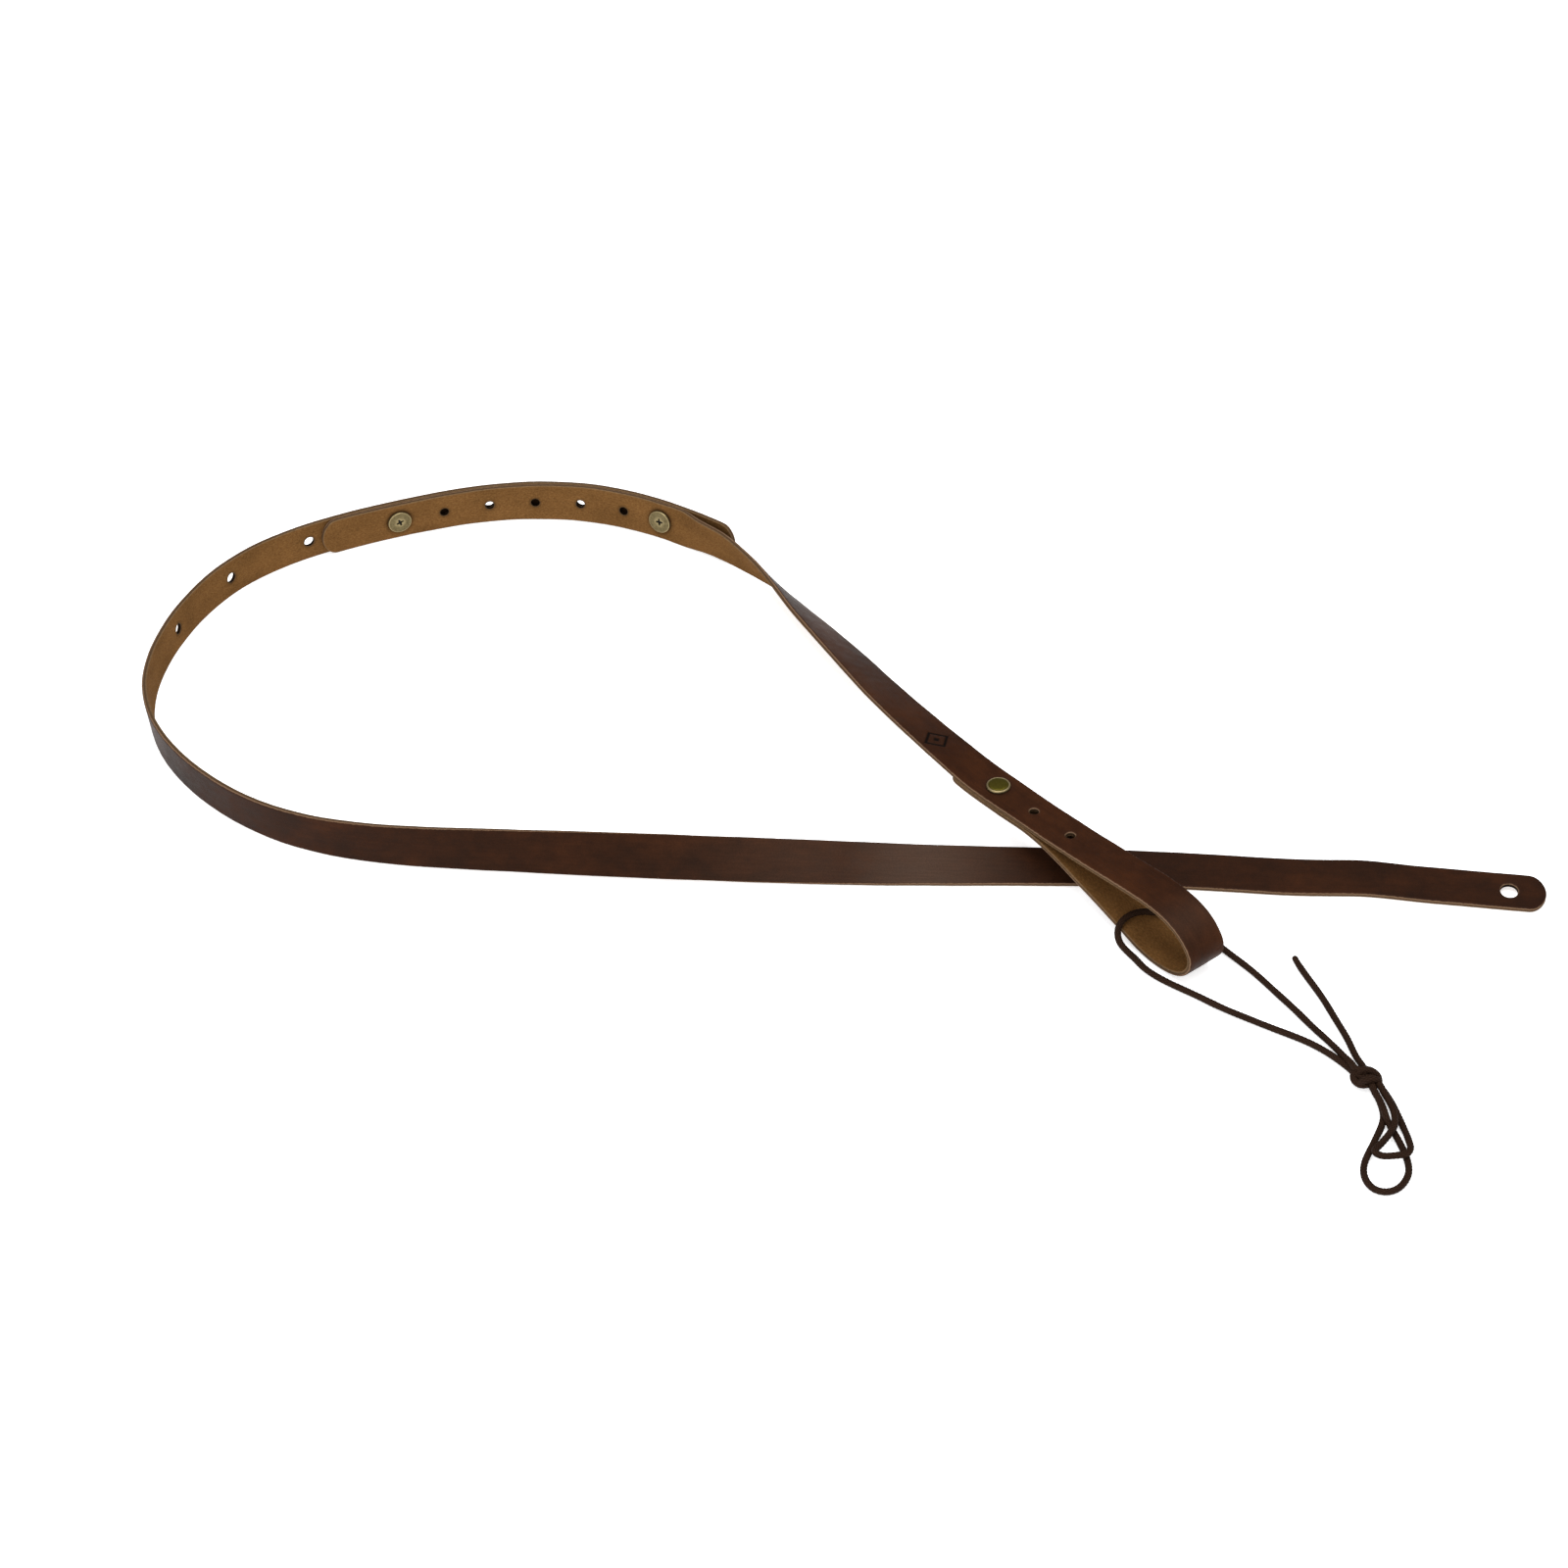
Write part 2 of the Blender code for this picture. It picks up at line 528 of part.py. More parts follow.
def screw_set(label, cap_leather, head_leather, axis):
    """One post and screw square through two plies, between two places on the leather."""
    span = float((cap_leather - head_leather) @ axis) + 2 * SEAT_GAP
    middle = (cap_leather + head_leather) / 2
    post(f"post_{label}", middle + axis * span / 2, axis, span - BARREL_SHORT)
    screw(f"screw_{label}", middle - axis * span / 2, -axis, span - SHAFT_SHORT)


def build_screws():
    # adjuster: post caps on the long strap's grain side, heads on the short strap's flesh side
    for label, at_long, at_short in (("left", LONG_HOLES[3], SHORT_HOLES[0]),
                                     ("right", LONG_HOLES[0], SHORT_HOLES[6])):
        screw_set(label, LONG.at(at_long, 0.0, EDGE), SHORT.at(at_short, 0.0, -EDGE),
                  LONG.frame(at_long)[2])
    # loop: cap on top, head under the fold-back end, whose grain side faces down
    screw_set("loop", SHORT.at(LOOP_SCREW, 0.0, EDGE), SHORT.at(FOLD_HOLE, 0.0, EDGE),
              SHORT.frame(LOOP_SCREW)[2])


# ---- lace --------------------------------------------------------------------------------------
def outside_knot(points, gap):
    """Which points a lace can pass through without touching the knot."""
    c, s = math.cos(KNOT_TURN), math.sin(KNOT_TURN)
    off = points - np.array(KNOT_AT)
    x = off[:, 0] * c + off[:, 1] * s
    y = -off[:, 0] * s + off[:, 1] * c
    half_x, half_y, half_z = (half + LACE_R + gap for half in KNOT_SIZE)
    return (x / half_x) ** 2 + (y / half_y) ** 2 + (off[:, 2] / half_z) ** 2 > 1


def lace(name, points, pivot, gap, start_radius=LACE_R):
    """A lace length: a tube along a smooth line through the points, closed at both ends."""
    points = np.array(points, float)
    knots = chords(points)
    fine = spline(knots, points, np.linspace(0, knots[-1], LACE_SAMPLES))
    fine = fine[outside_knot(fine, gap)]
    fine[:, 2] = np.maximum(fine[:, 2], LACE_R + LACE_TABLE_GAP)
    lengths = chords(fine)
    heading = unit(np.gradient(fine, lengths, axis=0))
    pick = [0]
    for i in range(1, len(fine)):
        last = pick[-1]
        if (lengths[i] - lengths[last] >= LACE_STEP
                or heading[i] @ heading[last] < math.cos(LACE_TURN)):
            pick.append(i)
    if lengths[-1] - lengths[pick[-1]] < LACE_LAST_RING:
        pick.pop()
    pick.append(len(fine) - 1)
    ahead = heading[pick]
    level = unit(np.cross(ahead, np.array([0, 0, 1.0])))
    upright = np.cross(level, ahead)
    angle = (np.arange(LACE_SIDES) + 0.5) * 2 * math.pi / LACE_SIDES
    radius = np.minimum(LACE_R, start_radius + lengths[pick] * TAIL_TAPER)
    spokes = (np.cos(angle)[None, :, None] * level[:, None]
              + np.sin(angle)[None, :, None] * upright[:, None])
    verts = (fine[pick][:, None] + radius[:, None, None] * spokes).reshape(-1, 3)
    put(name, verts, closed_rings(len(pick), LACE_SIDES), LACE_FINISH, pivot)


def knot():
    """The knot as one rounded lump."""
    c, s = math.cos(KNOT_TURN), math.sin(KNOT_TURN)
    verts = []
    for band in range(1, KNOT_BANDS):
        down = math.pi * band / KNOT_BANDS
        for side in range(KNOT_SIDES):
            around = 2 * math.pi * side / KNOT_SIDES
            x = KNOT_SIZE[0] * math.sin(down) * math.cos(around)
            y = KNOT_SIZE[1] * math.sin(down) * math.sin(around)
            verts.append((KNOT_AT[0] + x * c - y * s, KNOT_AT[1] + x * s + y * c,
                          KNOT_AT[2] + KNOT_SIZE[2] * math.cos(down)))
    put("lace_knot", np.array(verts), closed_rings(KNOT_BANDS - 1, KNOT_SIDES), LACE_FINISH,
        LACE_PIVOT)


def build_lace():
    lace("lace_tether", LACE_TETHER, LACE_PIVOT, KNOT_GAP)
    knot()
    lace("lace_tail", LACE_TAIL, LACE_TAIL[-1], FLEX_GAP, start_radius=TAIL_START_R)
    lace("lace_bow_ring", LACE_RING, BOW_PIVOT, FLEX_GAP)
    lace("lace_bow_triangle", LACE_TRIANGLE, BOW_PIVOT, FLEX_GAP)


# ---- build -------------------------------------------------------------------------------------
for old in list(bpy.data.objects):
    bpy.data.objects.remove(old, do_unlink=True)

build_long_strap()
build_short_strap()
build_screws()
build_lace()
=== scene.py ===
import math

import bpy
import numpy as np
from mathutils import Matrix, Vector
from mathutils.geometry import delaunay_2d_cdt

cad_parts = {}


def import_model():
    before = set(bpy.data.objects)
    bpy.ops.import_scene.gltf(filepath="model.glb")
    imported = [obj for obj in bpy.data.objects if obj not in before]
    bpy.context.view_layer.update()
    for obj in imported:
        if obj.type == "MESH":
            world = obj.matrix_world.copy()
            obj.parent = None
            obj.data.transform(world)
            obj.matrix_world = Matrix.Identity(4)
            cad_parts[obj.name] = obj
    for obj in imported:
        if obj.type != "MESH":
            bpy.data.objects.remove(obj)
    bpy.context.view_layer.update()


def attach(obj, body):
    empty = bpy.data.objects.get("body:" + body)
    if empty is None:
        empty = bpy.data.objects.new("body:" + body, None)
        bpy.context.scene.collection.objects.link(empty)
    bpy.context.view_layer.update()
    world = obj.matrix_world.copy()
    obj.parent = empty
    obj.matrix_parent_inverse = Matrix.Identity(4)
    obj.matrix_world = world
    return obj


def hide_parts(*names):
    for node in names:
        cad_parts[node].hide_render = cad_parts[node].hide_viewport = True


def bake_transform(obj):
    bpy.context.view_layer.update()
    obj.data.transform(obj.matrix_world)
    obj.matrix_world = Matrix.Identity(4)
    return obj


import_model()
MM = 0.001
ORIGIN = (16.745, -20.94)   # x, y of the world origin in the lay

# ---- leather, in mm ----------------------------------------------------------------------------
STRAP_W = 19.0
LEATHER = 2.2           # thickness of one ply
PLY_GAP = 0.3           # air between two plies clamped together
HALF_W = STRAP_W / 2
EDGE = LEATHER / 2      # middle of a ply to either skin
RIDE = LEATHER + PLY_GAP
END_R = 11.0            # arc that rounds every free end
HOLE_PITCH = 22.5       # pitch of the short strap's holes; the long strap has every second one
FREE_HOLE_R = 2.5       # holes of the long strap
SPARE_HOLE_R = 2.15     # adjuster holes of the short strap
LOOP_HOLE_R = 2.05      # holes at the short strap's loop
BUTTON_HOLE_R = 3.7     # hole that goes over a strap button
BUTTON_FROM_TIP = 15.5
END_TO_HOLE = 39.0      # free end to its first adjuster hole
FIRST_IN = 2.3          # the hole nearest the inner end is this much further in than its pitch
FOLD_TAIL = 24.4        # fold-back end past its screw
OVERLAP = 2 * END_TO_HOLE + 6 * HOLE_PITCH  # the short strap's end to the long one's inner end
LEAVE = 28.0            # the short strap leaves the long one this far before its inner end
TABLE_GAP = 0.02        # least air under the short strap and the lace
BAND_STEP = 0.5         # spacing of stations along a strap's centre line

# ---- two-part screws, in mm --------------------------------------------------------------------
POST_R, POST_BORE_R = 2.5, 2.05
CAP_R, CAP_H = 5.2, 1.7
SHAFT_R = 1.75
HEAD_R, HEAD_H = 5.7, 1.3
SUNK = 0.22             # head and cap press this far into the leather
LATHE_SIDES = 72

# ---- lace, in mm -------------------------------------------------------------------------------
LACE_R = 1.4
LACE_STEP, LACE_SIDES = 0.34, 44
BRAID_CELLS, BRAID_PITCH = 8, 1.75

# ---- rigid lengths of the flexing straps, in mm ------------------------------------------------
END_LINK = 138.0        # long strap's lifting end, measured from the tip
TIP_LINK = 60.0         # long strap's lifting tip
FLAT_TIP = 48.085       # the last stretch of the long strap, round its button hole, is straight
LOOP_LINK = 92.0        # short strap's loop link starts this far before its screw
LONG_BEND, LOOP_BEND = 16, 26   # length over which a strap bends

# How the long strap lies: lower edge x, y and outward lean from upright in degrees, from the inner
# end to the tip. It stands on edge round the left turn and rolls over until its grain side faces up.
LONG_LAY = [
    (-23.4, 167.1, 2), (-55.6, 188.9, 3), (-90.2, 203.1, 3), (-137.2, 205.4, -1), (-183.7, 192.2, -4),
    (-226.3, 171.5, -3), (-254.6, 147.6, -1), (-273.6, 114.4, 1), (-283.0, 77.4, 3),
    (-283.0, 49.2, 5), (-274.9, 22.3, 6), (-259.2, -2.4, 6), (-239.5, -22.5, 5), (-216.2, -38.2, 3),
    (-180.1, -51.0, -3), (-133.2, -57.5, -13), (-77.0, -62.5, -27), (-10.6, -67.0, -48),
    (55.9, -68.7, -68), (122.5, -69.0, -78), (188.9, -72.8, -81), (211.0, -74.8, -81),
    (224.0, -75.3, -81.5), (236.0, -75.4, -82), (243.0, -75.6, -82), (249.5, -76.4, -82),
    (261.5, -78.5, -82), (271.5, -80.0, -82), (319.01, -84.96, -82),
]
# How the short strap lies once it leaves the long one: centre line x, y, z, then the azimuth and
# elevation of the line across it, in degrees. It tips over sideways and climbs to the folded loop.
SHORT_LAY = [
    (-39.6, 174.2, 10.6, -137, 82), (-27.9, 164.1, 10.8, -135, 76), (-17.7, 153.1, 10.6, -138, 68),
    (-8.0, 141.3, 10.3, -144, 58), (0.0, 128.6, 10.1, -150, 49), (9.2, 112.2, 10.4, -152, 38),
    (18.7, 95.4, 11.2, -153, 30), (31.8, 70.5, 13.3, -155, 21), (44.7, 45.0, 15.9, -154, 14),
    (58.6, 20.1, 18.4, -150, 9), (73.4, -3.9, 20.1, -146, 4), (84.3, -19.8, 20.7, -142, 0),
    (91.5, -29.0, 21.0, -140, -1),
]
# The loop bends in one upright plane that starts at the loop screw: distance along it and height.
LOOP_HEADING = -50.8    # degrees
LOOP_UPPER = [(16, 21.6), (32, 22.4), (48, 23.4), (64, 24.7), (82, 26.5), (98, 27.6)]
LOOP_NOSE = [(109, 26.9), (117.5, 24.2), (123, 20), (126, 15.4), (126, 11), (123.5, 6.6),
             (118.5, 3.2), (111.5, 1.5), (104, 1.35)]
LOOP_LOWER = [(96, 2.6), (88, 5.2), (77, 8.4), (63, 12.4), (50, 15.9), (38, 18.6)]

# Lace centre lines, x, y, z. Points at a run's knot end, near (229, -188), are hidden in the knot.
# The tether goes from the knot along the near strand, through the loop and back.
LACE_TETHER = [
    (229.0, -188.6, 3.4), (226.6, -187.2, 3.2), (225.3, -185, 2.8), (223.9, -181.2, 1.7),
    (221.2, -177.2, 1.45), (210, -166.2, 1.45), (196.8, -158, 1.45), (186.1, -151.4, 1.45),
    (176.3, -145, 1.45), (167.8, -138.5, 1.45), (156.1, -130, 1.45), (147.7, -121.7, 1.45),
    (142.1, -112.7, 1.6), (138, -107.9, 4.6), (138.3, -103.1, 8.4), (142.1, -98.7, 9.6),
    (147.5, -95.5, 9.2), (153.5, -94.3, 8), (159.7, -93.1, 6), (165.9, -93.3, 3), (172.6, -97.4, 1.6),
    (178, -105.3, 1.45), (185.2, -115.1, 1.45), (192.4, -124.6, 1.45), (199.3, -135.4, 1.45),
    (206.4, -146.7, 1.45), (213.1, -158.1, 1.45), (219.6, -168.8, 1.7), (222.3, -175, 2.7),
    (225, -181.2, 3.7), (226.1, -184.5, 4.6), (227.8, -185.6, 4.9), (229.8, -187.4, 4.6),
]
LACE_TAIL = [
    (209.6, -114.5, 1.45), (211.4, -120.6, 1.45), (217.9, -138.3, 1.45), (222.5, -153.6, 1.45),
    (225.7, -165.1, 1.45), (227.9, -175.6, 1.7), (230.0, -184.2, 3.0), (230.2, -188.0, 3.4),
]
LACE_RING = [
    (229.2, -187.4, 3.0), (231.2, -190.6, 2.0), (232, -192.8, 1.45), (233.3, -198.1, 1.45),
    (233.9, -202.9, 1.45), (233.9, -207.2, 1.45), (232.9, -211.8, 1.45), (231.5, -215.4, 1.45),
    (229.5, -219.6, 1.45), (227.2, -224.5, 1.45), (224.9, -229.2, 1.45), (223, -234, 1.45),
    (222.2, -238.7, 1.45), (222.9, -243.6, 1.45), (225.3, -247.3, 1.45), (229.3, -248.7, 1.45),
    (233.6, -247.3, 1.45), (237.4, -243.1, 1.45), (239.5, -238.2, 1.45), (239.9, -232.9, 1.45),
    (239.3, -227.6, 1.45), (238.2, -222.3, 1.45), (237.1, -218, 1.45), (236.2, -215.1, 1.5),
    (235.5, -213.3, 2.15), (234.6, -211.7, 3.5), (234, -208.9, 4.35), (233.5, -205.2, 4.4),
    (232.7, -201.3, 4.4), (231.5, -196.9, 4.4), (231.0, -192.4, 4.6), (229.6, -188.6, 4.4),
]
LACE_TRIANGLE = [
    (231.0, -186.6, 3.2), (233.8, -189.8, 2.2), (235.7, -193, 1.45), (237.3, -197.4, 1.45),
    (238.6, -202.3, 1.45), (239.6, -207.2, 1.45), (240.6, -212.7, 1.45), (241.2, -218.7, 2.6),
    (241.4, -224.9, 4), (241.2, -228.6, 4.35), (239.6, -231, 4.4), (236.5, -232, 4.4),
    (232.6, -232.5, 4.4), (229.3, -232.2, 4.4), (227.4, -230.4, 4.4), (229.1, -227.2, 4.4),
    (232, -223.5, 4.4), (234.6, -220, 4.65), (236.7, -216.1, 4.6), (237.5, -211.9, 4.4),
    (237.5, -207.5, 4.4), (236.6, -202.6, 4.4), (235.2, -197.7, 4.4), (233.6, -192.6, 4.8),
    (231.2, -188.6, 4.6),
]
WRAP_LEFT = [
    (230.6, -185.0, 2.6), (228.2, -184.4, 3.6), (225.8, -185.2, 3.4), (224.6, -187.4, 3.0),
    (225.2, -190.0, 2.8), (227.2, -191.8, 3.0), (229.6, -191.8, 3.2), (231.4, -190.2, 2.8),
]
WRAP_RIGHT = [
    (226.6, -187.0, 3.0), (227.8, -186.4, 5.2), (230.2, -186.6, 6.2), (232.6, -187.8, 5.8),
    (234.1, -189.2, 4.4), (234.0, -190.4, 2.8), (232.0, -190.8, 1.8), (230.2, -188.6, 1.8),
    (229.0, -186.4, 2.0),
]
WRAP_OVER = [
    (227.6, -189.6, 1.7), (227.0, -191.2, 3.6), (227.8, -192.2, 5.6), (229.8, -192.6, 6.9),
    (232.0, -192.4, 6.6), (233.8, -191.4, 5.0), (234.2, -189.6, 3.2), (233.0, -188.0, 2.2),
]


# ---- curves and flat shapes --------------------------------------------------------------------
def unit(vectors):
    return vectors / np.linalg.norm(vectors, axis=-1, keepdims=True)


def spline(knots, values, at):
    """Natural cubic spline through rows of values at rising knots."""
    x, y, at = (np.asarray(data, float) for data in (knots, values, at))
    count, gaps = len(x), np.diff(x)
    matrix, right = np.eye(count), np.zeros_like(y)
    for i in range(1, count - 1):
        matrix[i, i - 1:i + 2] = gaps[i - 1], 2 * (gaps[i - 1] + gaps[i]), gaps[i]
        right[i] = 6 * ((y[i + 1] - y[i]) / gaps[i] - (y[i] - y[i - 1]) / gaps[i - 1])
    curve = np.linalg.solve(matrix, right)
    i = np.clip(np.searchsorted(x, at) - 1, 0, count - 2)
    past, gap = (at - x[i])[:, None], gaps[i][:, None]
    return (y[i] + past * ((y[i + 1] - y[i]) / gap - gap * (2 * curve[i] + curve[i + 1]) / 6)
            + past ** 2 * curve[i] / 2 + past ** 3 * (curve[i + 1] - curve[i]) / (6 * gap))


def chords(points):
    """Length along a polyline at each of its points."""
    return np.concatenate([[0.0], np.cumsum(np.linalg.norm(np.diff(points, axis=0), axis=1))])


def resample(path, length, table):
    """Columns of a table, known at the given lengths, read off at other lengths."""
    return np.stack([np.interp(length, path, table[:, k]) for k in range(3)], -1)


def stations(length):
    return np.append(np.arange(0.0, length, BAND_STEP), length)


def smooth(x, low, high):
    """0 below low, 1 above high, with an eased step between."""
    step = np.clip((np.asarray(x, float) - low) / (high - low), 0, 1)
    return step * step * (3 - 2 * step)


def fade(x, low, high):
    """1 below low, 0 above high."""
    return 1 - smooth(x, low, high)


def ripple(x, y, seed, scale):
    """Smooth, repeatable unevenness between about -1 and 1, from a few sines."""
    rng = np.random.RandomState(seed)
    out = np.zeros(np.broadcast(x, y).shape)
    for _ in range(7):
        way, rate = rng.uniform(0, 2 * math.pi), rng.uniform(0.5, 1.6) / scale
        wave = (x * math.cos(way) + y * math.sin(way)) * rate * 2 * math.pi
        out = out + np.sin(wave + rng.uniform(0, 6.28)) / 3.0
    return out


def inside(point, loop):
    """Whether a point is inside a closed loop."""
    x, y = loop[:, 0], loop[:, 1]
    next_x, next_y = np.roll(x, -1), np.roll(y, -1)
    crosses = (y > point[1]) != (next_y > point[1])
    with np.errstate(divide="ignore", invalid="ignore"):
        at = x + (point[1] - y) * (next_x - x) / (next_y - y)
    return bool((crosses & (point[0] < at)).sum() % 2)


def cut_flat(loops, inner=()):
    """Points and triangles of a flat area bounded by closed loops; loops after the first are holes."""
    points, edges = [], []
    for loop in loops:
        first, count = len(points), len(loop)
        points += [tuple(p) for p in loop]
        edges += [(first + i, first + (i + 1) % count) for i in range(count)]
    points += [tuple(p) for p in inner]
    result = delaunay_2d_cdt(points, edges, [], 0, 1e-6)
    corners, triangles, origins = [tuple(p) for p in result[0]], result[2], result[3]
    source_of = {}
    for i, sources in enumerate(origins):
        for source in sources:
            source_of[i] = source
    faces = []
    for triangle in triangles:
        one, two, three = (np.array(corners[i]) for i in triangle)
        middle = (one + two + three) / 3
        if not inside(middle, loops[0]) or any(inside(middle, hole) for hole in loops[1:]):
            continue
        side, other = two - one, three - one
        if side[0] * other[1] - side[1] * other[0] < 0:
            triangle = triangle[::-1]
        faces.append([source_of[i] for i in triangle])
    return np.array(points), faces


def circle(radius, count, x=0.0, phase=0.0):
    turn = phase + np.arange(count) * 2 * math.pi / count
    return np.column_stack([x + radius * np.cos(turn), radius * np.sin(turn)])


# ---- how the straps lie ------------------------------------------------------------------------
class Band:
    """A strap's middle surface: a centre line and a unit vector across it, looked up by length."""

    def __init__(self, centre, across, grain_sign):
        self.centre = np.asarray(centre, float)
        self.path = chords(self.centre)
        ahead = unit(np.gradient(self.centre, self.path, axis=0))
        ahead[-1] = unit(self.centre[-1] - self.centre[-2])
        self.ahead = ahead
        self.across = unit(across - (across * ahead).sum(1)[:, None] * ahead)
        self.grain = grain_sign * np.cross(ahead, self.across)

    def frame(self, along):
        """Centre, direction across and direction out of the grain side."""
        centre, across, grain = (resample(self.path, along, table)
                                 for table in (self.centre, self.across, self.grain))
        across = unit(across)
        grain = unit(grain - (grain * across).sum(-1)[..., None] * across)
        return centre, across, grain

    def at(self, along, sideways, height):
        """Points at a length, off the centre line and up towards the grain side."""
        centre, across, grain = self.frame(along)
        return (centre + np.asarray(sideways)[..., None] * across
                + np.asarray(height)[..., None] * grain)

    def spot(self, along, height):
        """One point over the centre line."""
        return self.at(np.array([along]), np.array([0.0]), np.array([height]))[0]

    def nearest(self, point, low, high):
        """Length along the centre line, between low and high, that is nearest a point."""
        allowed = np.flatnonzero((self.path >= low) & (self.path <= high))
        i = allowed[np.argmin(np.linalg.norm(self.centre[allowed] - point, axis=1))]
        return float(self.path[i] + (point - self.centre[i]) @ self.ahead[i])


def lay_long_strap():
    lay = np.array(LONG_LAY, float)
    knots = chords(lay[:, :2])
    at = stations(knots[-1])
    edge_xy = spline(knots, lay[:, :2], at)
    lean = np.radians(spline(knots, lay[:, 2:], at)[:, 0])
    ahead = unit(np.gradient(edge_xy, at, axis=0))
    outward = np.stack([ahead[:, 1], -ahead[:, 0], 0 * lean], 1)
    across = outward * np.sin(lean)[:, None] + np.array([0, 0, 1.0]) * np.cos(lean)[:, None]
    # the lower corner of the cut edge is what rests on the table
    edge = np.column_stack([edge_xy, EDGE * np.abs(np.sin(lean))])
    centre = edge + across * STRAP_W / 2
    bent = at <= at[-1] - FLAT_TIP
    centre, across, onward = centre[bent], across[bent], np.append(ahead[bent][-1], 0.0)
    centre = np.vstack([centre, centre[-1] + onward * FLAT_TIP / 2, centre[-1] + onward * FLAT_TIP])
    return Band(centre, np.vstack([across, across[-1], across[-1]]), 1)


def adjuster_place(k):
    """Length along the long strap at pitch k; the short strap's holes lie under these places."""
    return END_TO_HOLE + HOLE_PITCH * k + (FIRST_IN if k == 0 else 0)


def lay_short_strap():
    """The short strap's band, and the lengths of its loop screw hole and fold-back hole."""
    middle, across, grain = LONG.frame(np.arange(OVERLAP, LEAVE - 0.1, -8.0))
    middle = middle - grain * RIDE
    low = (middle - across * STRAP_W / 2)[:, 2] - EDGE * np.abs(grain[:, 2])
    centres = list(middle + across * np.maximum(TABLE_GAP - low, 0)[:, None])
    acrosses = list(across)
    for x, y, z, azimuth, rise in SHORT_LAY:
        azimuth, rise = math.radians(azimuth), math.radians(rise)
        centres.append(np.array([x, y, z]))
        acrosses.append(np.array([math.cos(rise) * math.cos(azimuth),
                                  math.cos(rise) * math.sin(azimuth), math.sin(rise)]))
    heading = math.radians(LOOP_HEADING)
    run = np.array([math.cos(heading), math.sin(heading), 0])
    level = np.array([math.sin(heading), -math.cos(heading), 0])
    screw = centres[-1]
    foot = np.array([screw[0], screw[1], 0.0])

    def add(profile):
        for distance, z in profile:
            centres.append(foot + run * distance + np.array([0, 0, z]))
            acrosses.append(level)

    def band():
        points = np.array(centres)
        knots = chords(points)
        at = stations(knots[-1])
        return Band(spline(knots, points, at), spline(knots, np.array(acrosses), at), -1)

    add(LOOP_UPPER)
    upper = band()
    at_screw = upper.nearest(screw, OVERLAP, 1e4)
    add(LOOP_NOSE)
    add(LOOP_LOWER)
    # the fold-back end lies against the flesh side of the upper ply
    for past_screw in (24.0, 12.0, 0.0, -11.0, -FOLD_TAIL):
        middle, across, grain = upper.frame(np.array([at_screw + past_screw]))
        centres.append((middle - grain * RIDE)[0])
        acrosses.append(across[0])
        if past_screw == 0:
            under_screw = centres[-1]
    whole = band()
    return (whole, whole.nearest(screw, OVERLAP, at_screw + 20),
            whole.nearest(under_screw, at_screw + 150, 1e5))


LONG = lay_long_strap()
LONG_LEN = float(LONG.path[-1])
LONG_HOLES = [adjuster_place(2 * k) for k in range(7)]
SHORT, LOOP_SCREW, FOLD_HOLE = lay_short_strap()
SHORT_LEN = float(SHORT.path[-1])
SHORT_HOLES = [SHORT.nearest(LONG.spot(adjuster_place(k), -RIDE), 0, OVERLAP)
               for k in reversed(range(7))]
LOOP_HOLES = [LOOP_SCREW + HOLE_PITCH * k for k in range(3)]


# ---- meshes ------------------------------------------------------------------------------------
def world(point):
    return (np.asarray(point, float) - np.array([ORIGIN[0], ORIGIN[1], 0.0])) * MM


def mesh_piece(name, verts, faces, material, attrs, sharp):
    """A smooth mesh from points of the lay, with point attributes; sharp is an edge angle."""
    mesh = bpy.data.meshes.new(name)
    mesh.from_pydata(world(verts).tolist(), [], [list(map(int, face)) for face in faces])
    mesh.update()
    for key, values in attrs.items():
        values = np.asarray(values, np.float32)
        is_vector = values.ndim == 2
        layer = mesh.attributes.new(key, "FLOAT_VECTOR" if is_vector else "FLOAT", "POINT")
        layer.data.foreach_set("vector" if is_vector else "value", values.ravel())
    mesh.polygons.foreach_set("use_smooth", [True] * len(mesh.polygons))
    mesh.set_sharp_from_angle(angle=math.radians(sharp))
    piece = bpy.data.objects.new(name, mesh)
    bpy.context.scene.collection.objects.link(piece)
    mesh.materials.append(material)
    return piece


